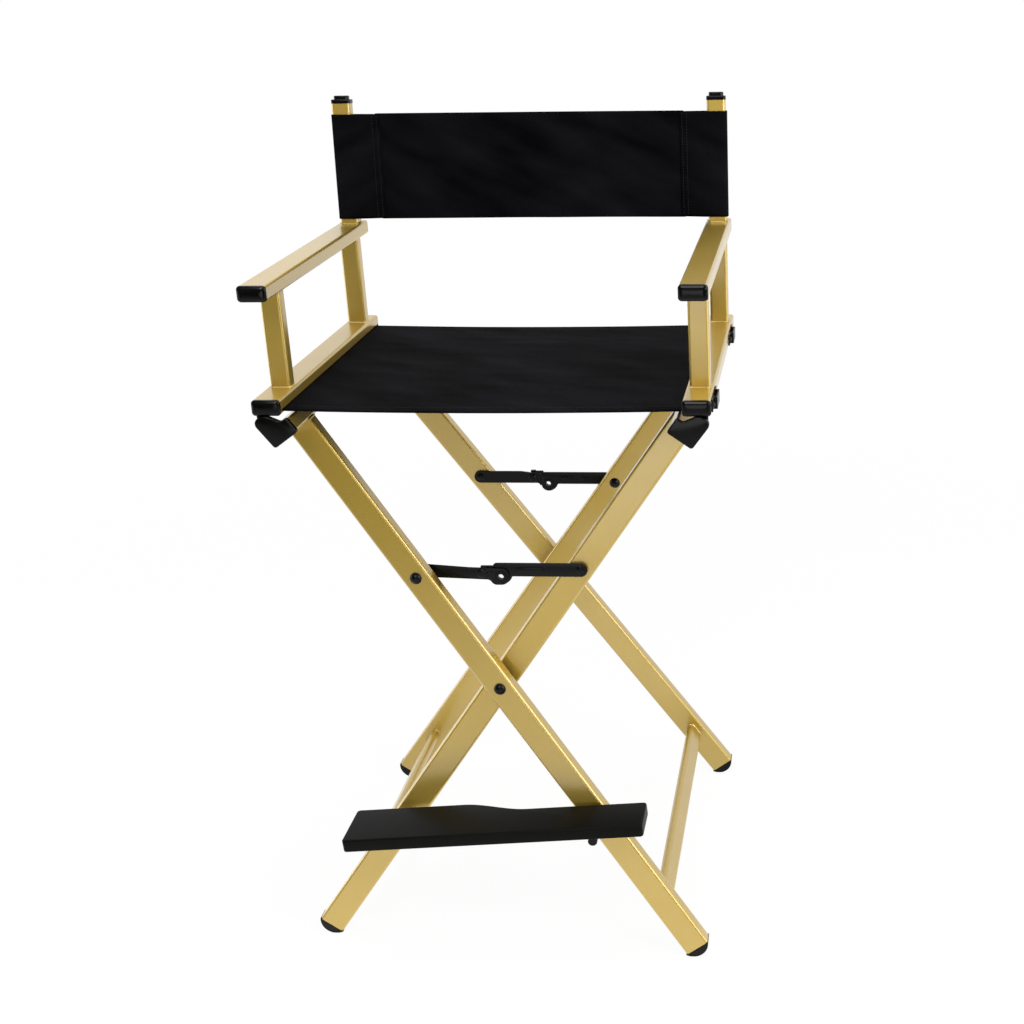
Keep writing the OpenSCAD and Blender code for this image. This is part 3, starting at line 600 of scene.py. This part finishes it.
def weld(w, h, r):
    full_w, full_h = w + 2 * SEAM, h + 2 * SEAM
    shape = box_outline(full_w, full_h, min(r + SEAM, full_w / 2 - 0.01, full_h / 2 - 0.01), 8)
    for edge in [e for e in shape.edges if e.calc_length() > 1.5]:
        bmesh.ops.subdivide_edges(shape, edges=[edge], cuts=int(edge.calc_length() / 0.7))
    push_in_steps(shape, full_w / 2, full_h / 2, SEAM_STEPS)
    for vert in shape.verts:
        if 0.1 < vert.co.z < 1.5:
            along = vert.co.x if abs(vert.co.y) > full_h / 2 - r - 1 else vert.co.y
            swell = 1 + 0.012 * sin(2 * pi * along / RIPPLE)
            vert.co.x *= swell
            vert.co.y *= swell
    return shape


def upright_weld():
    return weld(UPRIGHT_W, UPRIGHT_T, CORNER_R)


def stretcher_weld():
    return weld(STRETCHER_T, STRETCHER_W, STRETCHER_R)


for hand, side in HANDS:
    x, seams = side * RAIL_MID_X, []
    for y in (FRONT_UPRIGHT_Y + UPRIGHT_T / 2, REAR_UPRIGHT_Y + UPRIGHT_T / 2):
        seams.append((upright_weld(), at(x, y, SEAT_H - SINK)))
        seams.append((upright_weld(), at(x, y, ARM_TOP - RAIL_T + SINK, DOWN)))
    seams.append((upright_weld(), at(x, POST_Y, ARM_TOP - SINK)))
    piece(hand + "_weld_seams", seams, GOLD_WELD, hand + "_side_frame", sharp=80)
SLANTED = Matrix.Rotation(-FRONT_LEAN, 4, "X") @ BACKWARD
for legs, side, front, rear in LEG_FRAMES:
    top = front + LEAN * LEG_TOP + FRONT_DEPTH / 2
    low = front - LEAN * STRETCHER_DOWN + FRONT_DEPTH
    seams = [(weld(LEG_W, FRONT_DEPTH, CORNER_R), on_leg(side, 0, top, LEG_TOP + SINK, DOWN)),
             (weld(LEG_W, LEG_T, CORNER_R), on_leg(side, 0, rear + LEG_T / 2, LEG_TOP + SINK, DOWN)),
             (stretcher_weld(), on_leg(side, 0, rear + SINK, -STRETCHER_DOWN, FORWARD)),
             (stretcher_weld(), on_leg(side, 0, low - SINK, -STRETCHER_DOWN, SLANTED))]
    piece(legs + "_weld_seams", seams, GOLD_WELD, legs + "_legs", sharp=80)
print("seam size", SEAM, "mm, ripple", RIPPLE, "mm")

# %% [markdown]
# ## Locking braces
#
# Each brace is two flat steel bars that lock when they lie in line. A bar is blanked from strip in one piece:
# a long body, level when open, with a round eye that hangs from its end, so the joint sits below the line of
# the bolts. The hole is a circle inside the outline, and the face between the two is filled in one step. The
# right bar has a pressed bead that stiffens it and a lip that stops on the left bar. The left bar carries the
# domed stop rivet. The front left bar slants down to its eye, so that it clears the leg when the chair folds.

# %% Brace sizes
BAR_HALF, BAR_T, BAR_END_R, EYE_R, EYE_HOLE_R = 10.0, 2.2, 9.9, 12.4, 5.2
BRACE_UP, EYE_DROP = 192, 9.5
SLANT = {"front": 5.8, "rear": 0.0}
LEG_CLEARANCE, BAR_GAP, WASHER_T = 8.6, 0.4, 0.8
RIVET_R, RIVET_H = 7.0, 3.6
ROUND_HEAD = ((0.3, 0), (0.6, 0.07), (0.8, 0.2), (0.93, 0.4), (1.0, 0.68))
brace_x, brace_z = BRACE_UP * sin(LEG_ANGLE), CROSS_H + BRACE_UP * cos(LEG_ANGLE)
RIVET_X, BEAD_X = brace_x - 26, brace_x - 41
LIP_X, TAIL_X = brace_x + 24, brace_x + 17
front_left_y = FACE_A + LEAN * BRACE_UP + FRONT_DEPTH + LEG_CLEARANCE
BAR_BACKS = {"front": (front_left_y + BAR_T, front_left_y + 2 * BAR_T + BAR_GAP),
             "rear": (FACE_D - WASHER_T, FACE_C + LEG_T + WASHER_T + BAR_T)}
print("brace bars", round(brace_x, 1), "mm from bolt to eye")


# %% Blanks, slabs and rivets
def soften(shape, by):
    """Breaks every sharp edge of a stamped part."""
    bmesh.ops.recalc_face_normals(shape, faces=shape.faces)
    bevel(shape, [e for e in shape.edges if len(e.link_faces) == 2 and e.calc_face_angle(0) > 1], by, 2)
    return shape


def blanked_bar(side, slant):
    """Seen from the front, with the bolt at the origin and the eye toward the middle of the chair."""
    eye, body, eye_end = brace_x, BAR_HALF, brace_x + EYE_R - 1
    plan = [(-body, -body, BAR_END_R), (eye - EYE_R - 3, -body - 0.7 * slant, 4),
            (eye - EYE_R + 1, -EYE_DROP - EYE_R, 11), (eye_end, -EYE_DROP - EYE_R, 11)]
    if side < 0:
        plan += [(eye_end, EYE_R - EYE_DROP - 0.4, 9), (eye - 45, body - slant, 0), (-body, body, BAR_END_R)]
    else:
        plan += [(eye_end, body, 6), (-body, body, BAR_END_R)]
    plan = [(-side * x, y, r) for x, y, r in plan]
    shape = outline(plan if side < 0 else plan[::-1], 8)
    bmesh.ops.delete(shape, geom=shape.faces[:], context="FACES_ONLY")
    bmesh.ops.create_circle(shape, segments=40, radius=EYE_HOLE_R,
                            matrix=Matrix.Translation((-side * eye, -EYE_DROP, 0)))
    bmesh.ops.triangle_fill(shape, use_beauty=True, use_dissolve=False, edges=shape.edges[:])
    made = bmesh.ops.extrude_face_region(shape, geom=shape.faces[:], use_keep_orig=True)["geom"]
    bmesh.ops.translate(shape, verts=only(bmesh.types.BMVert, made), vec=(0, 0, BAR_T))
    return soften(shape, 0.45)


def slab(w, h, r, depth, rim):
    shape = box_outline(w, h, r, 8)
    push(shape, depth)
    close_back(shape)
    return soften(shape, rim)


def rivet():
    """A domed head: a circle pushed out in narrowing steps."""
    shape = bmesh.new()
    bmesh.ops.create_circle(shape, cap_ends=True, segments=32, radius=RIVET_R)
    steps = [(RIVET_H * reach, RIVET_R * draw_in) for reach, draw_in in ROUND_HEAD]
    return push_in_steps(shape, RIVET_R, RIVET_R, steps)


# %% Brace bars
def on_bar(side, x, depth, up):
    """A place on a bar: x counts from its bolt toward its eye, and up from the line of the bolts."""
    return at(side * (brace_x - x), depth, brace_z + up, FORWARD)


def left_bar(end, back):
    return [(blanked_bar(-1, SLANT[end]), on_bar(-1, 0, back, 0)),
            (rivet(), on_bar(-1, RIVET_X, back - BAR_T + 0.1, -1 - 0.5 * SLANT[end]))]


def right_bar(end, back):
    stop_up = BAR_HALF - 1.1 * SLANT[end]
    lip_up, lip_back, lip_front = stop_up + 0.3 + BAR_T / 2, max(BAR_BACKS[end]), min(BAR_BACKS[end]) - BAR_T
    return [(blanked_bar(1, 0), on_bar(1, 0, back, 0)),
            (slab(38, 8, 3.9, 1.3, 0.5), on_bar(1, BEAD_X, back - BAR_T + 0.3, 0)),
            (slab(8, BAR_T, 0.6, lip_back - lip_front, 0.3), on_bar(1, LIP_X, lip_back, lip_up)),
            (slab(20, 5, 1.5, BAR_T, 0.3), on_bar(1, TAIL_X, back, stop_up))]


for end, (left_back, right_back) in BAR_BACKS.items():
    for hand, shapes in (("left", left_bar(end, left_back)), ("right", right_bar(end, right_back))):
        brace = end + "_" + hand + "_brace"
        piece(brace + "_bar_pressed", shapes, STEEL, brace, [brace + "_bar"])

# %% [markdown]
# ## Footrest board
#
# The board is wide where the foot first steps on it and narrow at the right, with an S-shaped back edge
# between. One edge of its outline is cut into short pieces, which are moved onto that curve before the board
# is pushed to its thickness and its arrises are rounded.

# %% Footrest board
BOARD_T, BOARD_LEFT, BOARD_RIGHT, BOARD_CORNER, BOARD_RIM = 19, -62, 361, 5, 2.4
STEP_DEPTH, OGEE_FROM, OGEE_TO = 20, 95, 190


def footrest_board():
    deep = BOARD_BACK + STEP_DEPTH
    shape = outline([(BOARD_LEFT, BOARD_FRONT, BOARD_CORNER), (BOARD_RIGHT, BOARD_FRONT, BOARD_CORNER),
                     (BOARD_RIGHT, BOARD_BACK, BOARD_CORNER), (OGEE_TO, BOARD_BACK, 0), (OGEE_FROM, deep, 0),
                     (BOARD_LEFT, deep, BOARD_CORNER)])
    slope = [e for e in shape.edges if all(OGEE_FROM - 1 < v.co.x < OGEE_TO + 1 for v in e.verts)]
    bmesh.ops.subdivide_edges(shape, edges=slope, cuts=19)
    for vert in shape.verts:
        if OGEE_FROM < vert.co.x < OGEE_TO and vert.co.y > BOARD_FRONT + BOARD_CORNER:
            s = (vert.co.x - OGEE_FROM) / (OGEE_TO - OGEE_FROM)
            vert.co.y = deep - STEP_DEPTH * s * s * (3 - 2 * s)
    bevel(shape, both_rims(shape, push(shape, BOARD_T)), BOARD_RIM, 4)
    return shape


board = piece("footrest_board_painted", [(footrest_board(), on_board(0, 0, BOARD_UNDER))], BOARD, "footrest",
              ["footrest_board"])
print("board", [round(v, 3) for v in board.dimensions])

# %% [markdown]
# ## Canvas
#
# Both canvases are one sheet of cloth with a hem folded under at each free edge. The cloth is drawn out row
# by row from its first thread: a line is extruded along a path that goes back under the hem, round the fold
# and across. Each row remembers how far along the cloth it is, which becomes the UV map, so the weave stays
# square to the threads.

# %% Weaving a sheet
CLOTH_T = 1.4


def first_thread(points, radii, pieces_mm=5.5):
    """A line through the points, its corners rounded and its straight runs cut into short pieces."""
    cloth = bmesh.new()
    verts = [cloth.verts.new(p) for p in points]
    for a, b in zip(verts, verts[1:]):
        cloth.edges.new((a, b))
    for vert, r in zip(verts, radii):
        if r:
            bevel(cloth, [vert], r, 8, "VERTICES")
    for edge in [e for e in cloth.edges if e.calc_length() > 1.5 * pieces_mm]:
        bmesh.ops.subdivide_edges(cloth, edges=[edge], cuts=int(edge.calc_length() / pieces_mm))
    for layer in ("across", "along"):
        cloth.verts.layers.float.new(layer)
    across, start = cloth.verts.layers.float["across"], Vector(points[0])
    ends = [v for v in cloth.verts if len(v.link_edges) == 1]
    end = min(ends, key=lambda v: (v.co - start).length)
    walked, seen = 0.0, set()
    while end:
        seen.add(end)
        end[across] = walked
        step = next((e for e in end.link_edges if e.other_vert(end) not in seen), None)
        walked += step.calc_length() if step else 0
        end = step.other_vert(end) if step else None
    return cloth


def weave_on(cloth, moves):
    """Draws the cloth out by each move, and writes the UV map in metres of cloth. Returns its length."""
    along = cloth.verts.layers.float["along"]
    edges, length = cloth.edges[:], 0.0
    for move in moves:
        made = bmesh.ops.extrude_edge_only(cloth, edges=edges)["geom"]
        verts = only(bmesh.types.BMVert, made)
        edges = [e for e in only(bmesh.types.BMEdge, made) if all(v in set(verts) for v in e.verts)]
        bmesh.ops.translate(cloth, verts=verts, vec=move)
        length += Vector(move).length
        for vert in verts:
            vert[along] = length
    across = cloth.verts.layers.float["across"]
    uv = cloth.loops.layers.uv.new("threads")
    for face in cloth.faces:
        for loop in face.loops:
            loop[uv].uv = (loop.vert[across] / 1000, loop.vert[along] / 1000)
    return length


def hemmed(direction, face, length, rows, hem=17.0, gap=0.85):
    """The cloth's path in the plane of direction and face: under the hem, round its fold and across, and
    then the same in reverse at the far edge. Returns its start and its moves."""
    near = [(hem + (gap - hem) * i / 3, -2 * gap) for i in range(4)]
    near += [(gap - gap * sin(pi * i / 4), -gap - gap * cos(pi * i / 4)) for i in range(1, 5)]
    across = [(gap + (length - 2 * gap) * i / rows, 0) for i in range(1, rows)]
    path = near + across + [(length - d, u) for d, u in reversed(near)]
    points = [Vector(direction) * d + Vector(face) * u for d, u in path]
    return points[0], [b - a for a, b in zip(points, points[1:])]


# %% Cloth pieces and stitches
STITCH_MM = 4.4


def cloth_piece(name, cloth, place, body, stands_for):
    bmesh.ops.transform(cloth, matrix=place, verts=cloth.verts)
    bmesh.ops.recalc_face_normals(cloth, faces=cloth.faces)
    obj = as_object(name, cloth, CANVAS)
    wall = obj.modifiers.new("canvas_thickness", "SOLIDIFY")
    wall.thickness = CLOTH_T / 1000
    wall.offset = 0
    return carried(obj, body, stands_for)


def stitches(name, rows, place, body):
    """Rows of thread: each is (from, to, surface), where surface gives a point's lift onto the cloth."""
    thread = bmesh.new()
    for start, end, surface in rows:
        start, end = Vector(start), Vector(end)
        count = int((end - start).length / STITCH_MM)
        turn = (end - start).to_track_quat("X", "Z").to_matrix().to_4x4()
        for i in range(count):
            middle = Matrix.Translation(surface(start.lerp(end, (i + 0.5) / count)))
            bmesh.ops.create_icosphere(thread, subdivisions=1, radius=1,
                                       matrix=middle @ turn @ Matrix.Diagonal((1.6, 0.42, 0.42, 1)))
    obj = piece(name, [(thread, place)], THREAD, body, sharp=180)
    print(name, len(obj.data.vertices) // 12, "stitches")
    return obj


# %% [markdown]
# The seat is stretched between the rails, dips a little in its middle, and enters a slot in each rail, where
# a rod holds it. Stretched cloth isn't perfectly flat: shallow creases run across it from rail to rail, where
# the load goes, and they fade at the rails.

# %% Seat
SEAT_X, SEAT_FROM, SEAT_TO, SEAT_SAG, SLOT_Z = 268.4, 8, 452, 3, 794.5
SEAT_HALF, SEAT_FADE, SEAT_HEM_SEAM = 267, 60, 13.5


def seat_lift(x, y):
    u = min(1, abs(x) / SEAT_HALF)
    free = 1 - u * u
    crease = noise.noise(Vector((x * 0.0035, y * 0.022, 3.1)))
    crease += 0.5 * noise.noise(Vector((x * 0.009, y * 0.05, 7.7)))
    edge = min(1, (y - SEAT_FROM) / SEAT_FADE, (SEAT_TO - y) / SEAT_FADE)
    return -SEAT_SAG * free + 0.9 * crease * min(1, free * 3) * (0.35 + 0.65 * max(0, edge))


def on_seat(p):
    return Vector((p.x, p.y, SLOT_Z + CLOTH_T / 2 + 0.1 + seat_lift(p.x, p.y)))


start, moves = hemmed((0, 1, 0), (0, 0, 1), SEAT_TO - SEAT_FROM, 84)
start = start + Vector((0, SEAT_FROM, SLOT_Z))
seat_cloth = first_thread([(-SEAT_X, start.y, start.z), (SEAT_X, start.y, start.z)], (0, 0))
seat_length = weave_on(seat_cloth, moves)
for vert in seat_cloth.verts:
    vert.co.z += seat_lift(vert.co.x, vert.co.y)
seat = cloth_piece("seat_canvas", seat_cloth, PLACE, "left_side_frame", ["seat_sling"])
hem_seams = (SEAT_FROM + SEAT_HEM_SEAM, SEAT_TO - SEAT_HEM_SEAM)
seat_rows = [((-262, y, 0), (262, y, 0), on_seat) for y in hem_seams]
seat_stitches = stitches("seat_stitches", seat_rows, PLACE, "left_side_frame")
for cloth in (seat, seat_stitches):
    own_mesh(cloth)
print("seat cloth", round(2 * SEAT_X), "x", round(seat_length), "mm")

# %% [markdown]
# The back is a band whose ends go round the posts and are sewn to the back of the band with a double seam.
# The posts move apart and together as the chair folds, so the two sleeves ride on their own side frames.
# Its soft diagonal creases come from the weight of a sitter's back.

# %% Back panel
BAND_FROM, BAND_TO, SEAM_X, BAND_BOW, BAND_FADE = 6, 164, 234, 5, 40
BACK_PLACE = at(0, POST_Y, ARM_TOP) @ Matrix.Rotation(-POST_LEAN, 4, "X")


def back_bow(x, z):
    u = min(1, abs(x) / SEAM_X)
    free = 1 - u * u
    slant = x * 0.55 - z
    crease = noise.noise(Vector((slant * 0.016, (x + z) * 0.004, 1.7)))
    fine = noise.noise(Vector((slant * 0.04, (x + z) * 0.012, 9.2)))
    edge = min(1, (z - BAND_FROM) / BAND_FADE, (BAND_TO - z) / BAND_FADE)
    return BAND_BOW * free + (9.0 * crease + 1.6 * fine) * min(1, free * 2.5) * (0.3 + 0.7 * max(0, edge))


start, moves = hemmed((0, 0, 1), (0, -1, 0), BAND_TO - BAND_FROM, 34, hem=15.0)
start = start + Vector((0, 0, BAND_FROM))
panel_cloth = first_thread([(-SEAM_X - 2, start.y, start.z), (SEAM_X + 2, start.y, start.z)], (0, 0))
back_length = weave_on(panel_cloth, moves)
for vert in panel_cloth.verts:
    vert.co.y += back_bow(vert.co.x, vert.co.z)
panel = cloth_piece("back_panel_canvas", panel_cloth, BACK_PLACE, "left_side_frame", ["back_sling"])
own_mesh(panel)
print("back cloth", round(back_length), "mm high with its hems")

# %% Back sleeves
LAP, SHOULDER_X, SLEEVE_REACH, SLEEVE_HALF, SLEEVE_EDGE = 4, 272, 15.3, 11.3, 0.95
SLEEVE_ROWS, SLEEVE_IN = 32, 0.3


def clamped(value):
    return max(0, min(1, value))


def sleeve_lift(p):
    """Where a stitch sits on the front or back of a sleeve, which slopes from the seam to the post."""
    t = clamped((abs(p.x) - SEAM_X + LAP) / 40)
    return Vector((p.x, -1.7 - 10.3 * t if p.y < 0 else 1.7 + 10.3 * t, p.z))


def sleeve_crease(x, z, side):
    toward_post = clamped((abs(x) - SEAM_X) / 30)
    ripple = noise.noise(Vector((x * 0.03, z * 0.02, 5.5 + side)))
    return 0.9 * ripple * toward_post * (1 if abs(x) < 276 else 0.25)


for hand, side in HANDS:
    front = [(SEAM_X - LAP, -SLEEVE_EDGE), (SHOULDER_X, -SLEEVE_HALF),
             (RAIL_MID_X + SLEEVE_REACH, -SLEEVE_HALF)]
    plan = front + [(x, -y) for x, y in reversed(front)]
    round_post = [(side * x, y, BAND_FROM + SLEEVE_IN) for x, y in plan]
    cloth = first_thread(round_post, (0, 9, 5.2, 5.2, 9, 0), 4.0)
    weave_on(cloth, [(0, 0, (BAND_TO - BAND_FROM - 2 * SLEEVE_IN) / SLEEVE_ROWS)] * SLEEVE_ROWS)
    for vert in cloth.verts:
        vert.co.y += sleeve_crease(vert.co.x, vert.co.z, side) * (1 if vert.co.y > 0 else -1)
    sleeve = cloth_piece(hand + "_sleeve_canvas", cloth, BACK_PLACE, hand + "_side_frame", ["back_sling"])
    seams = [((side * x, y, BAND_FROM + 3), (side * x, y, BAND_TO - 3), sleeve_lift)
             for x in (SEAM_X, SEAM_X + 7) for y in (-1, 1)]
    thread = stitches(hand + "_sleeve_stitches", seams, BACK_PLACE, hand + "_side_frame")

# %% [markdown]
# ## Studio
#
# The photograph's background is plain white paper that sweeps up behind the chair and lies under it, and ends
# a step in front of it. So the floor and the world are white to the camera, and white to gloss where the
# paper is: toward the front the metal sees the dimmer room, which gives the tubes their deep tones. A little
# of the floor near the feet stays an ordinary surface, so they keep their soft shadow.

# %% Floor
WHITE = (1, 1, 1, 1)
FLOOR_HALF, FLOOR_DROP = 12, 0.0005


def white_share(tree, seen, mirrored, matt=0.0):
    """One share for the camera and clear pieces, one for gloss, and one for plain light."""
    path = add(tree, "ShaderNodeLightPath")
    direct = reckon(tree, "MAXIMUM", path.outputs["Is Camera Ray"], path.outputs["Is Transmission Ray"])
    share = add(tree, "ShaderNodeMix", {"data_type": "FLOAT"}, Factor=path.outputs["Is Glossy Ray"],
                _2=matt, _3=mirrored).outputs[0]
    return add(tree, "ShaderNodeMix", {"data_type": "FLOAT"}, Factor=direct, _2=share, _3=seen).outputs[0]


def paper_finish(name):
    paper = bpy.data.materials.new(name)
    tree = empty_tree(paper)
    where = add(tree, "ShaderNodeTexCoord").outputs["Object"]
    far = add(tree, "ShaderNodeVectorMath", {"operation": "LENGTH"}, _0=where).outputs["Value"]
    depth = add(tree, "ShaderNodeSeparateXYZ", Vector=where).outputs["Y"]
    on_paper = ramp(tree, depth, -3.2, -0.6, 0.0, 0.95)
    share = white_share(tree, ramp(tree, far, 0.8, 2.4, 0.93, 1.0), on_paper)
    tone = two_tones(tree, on_paper, "#2c2c2c", "#ececec")
    matt = add(tree, "ShaderNodeBsdfDiffuse", Color=tone).outputs[0]
    white = add(tree, "ShaderNodeEmission", Color=WHITE, Strength=1.0).outputs[0]
    mixed = add(tree, "ShaderNodeMixShader", _0=share, _1=matt, _2=white).outputs[0]
    add(tree, "ShaderNodeOutputMaterial", Surface=mixed)
    return paper


ground = bmesh.new()
bmesh.ops.create_grid(ground, x_segments=1, y_segments=1, size=FLOOR_HALF)
floor = as_object("studio_floor", ground, paper_finish("white_paper_floor"))
floor.location.z = -FLOOR_DROP
print("floor", 2 * FLOOR_HALF, "m wide")


# %% World
def white_world(name):
    world = bpy.data.worlds.new(name)
    tree = empty_tree(world)
    direction = add(tree, "ShaderNodeTexCoord").outputs["Generated"]
    behind = add(tree, "ShaderNodeSeparateXYZ", Vector=direction).outputs["Y"]
    share = white_share(tree, 1.0, ramp(tree, behind, -0.35, 0.25, 0.15, 1.0), 0.5)
    sky = add(tree, "ShaderNodeBackground", Color=WHITE, Strength=share).outputs[0]
    add(tree, "ShaderNodeOutputWorld", Surface=sky)
    return world


bpy.context.scene.world = white_world("white_studio")
print("world", bpy.context.scene.world.name)

# %% [markdown]
# The lamps are softboxes, as in a product studio: wide, gentle and out of the camera's sight. Their places
# were chosen by comparing the tone of each face with the photograph: strong ones overhead, high in front and
# on the right, as a window would be, and weak ones that open up the sides and the undersides.


# %% Lamps
def softbox(name, place, target, width, height, watts):
    lamp = bpy.data.lights.new(name, "AREA")
    lamp.shape, lamp.size, lamp.size_y, lamp.energy = "RECTANGLE", width, height, watts
    obj = put_in_scene(name, lamp)
    obj.location = place
    obj.rotation_euler = (Vector(target) - Vector(place)).to_track_quat("-Z", "Y").to_euler()
    obj.visible_camera = False
    print(name, watts, "W")


CHAIR_MIDDLE, CHAIR_SEAT = (0, 0, 0.6), (0, 0, 0.9)
softbox("overhead_softbox", (0, 0.3, 3.0), CHAIR_MIDDLE, 2.4, 2.0, 36)
softbox("high_front_softbox", (-0.3, -2.6, 3.0), CHAIR_MIDDLE, 1.8, 1.4, 56)
softbox("low_front_softbox", (-0.05, -3.0, 0.5), CHAIR_MIDDLE, 1.4, 0.8, 9)
softbox("floor_softbox", (0.1, -0.55, 0.004), (0.1, -0.55, 2), 1.5, 1.1, 1.8)
softbox("right_softbox", (2.3, -0.4, 1.1), CHAIR_SEAT, 2.0, 2.0, 16)
softbox("right_window", (2.0, -1.3, 1.7), (0, -0.2, 0.7), 1.3, 1.9, 46)
softbox("left_softbox", (-2.4, 0.1, 1.1), CHAIR_SEAT, 1.3, 2.0, 20)

# %% [markdown]
# ## Camera
#
# The camera stands where the photograph's did: found by matching points of the photograph to points of the
# drawing. The chair isn't in the middle of that lens's view, so the sensor is shifted, as on a view camera.

# %% Camera
CAMERA_AT = (469.919, -1916.839, 1404.127)
YAW, PITCH, ROLL = 0.05823, -0.34473, -0.01644
FOCAL_PX, SHIFT_PX, IMAGE, SENSOR_MM = 1544.279, (240.669, -42.548), 1024, 36
look = Vector((-sin(YAW) * cos(PITCH), cos(YAW) * cos(PITCH), sin(PITCH)))
level = Vector((cos(YAW), sin(YAW), 0))
rise = level.cross(look)
right = cos(ROLL) * level + sin(ROLL) * rise
top = -sin(ROLL) * level + cos(ROLL) * rise
lens = bpy.data.cameras.new("photo_camera")
lens.sensor_width = SENSOR_MM
lens.lens = SENSOR_MM * FOCAL_PX / IMAGE
lens.shift_x, lens.shift_y = -SHIFT_PX[0] / IMAGE, SHIFT_PX[1] / IMAGE
lens.clip_end = 60
camera = put_in_scene("photo_camera", lens)
turn = Matrix((right, top, -look)).transposed().to_4x4()
camera.matrix_world = Matrix.Translation(PLACE @ Vector(CAMERA_AT)) @ turn
bpy.context.scene.camera = camera
bpy.context.scene.view_settings.view_transform = "Standard"
print("lens", round(lens.lens, 1), "mm, shift", round(lens.shift_x, 3), round(lens.shift_y, 3))
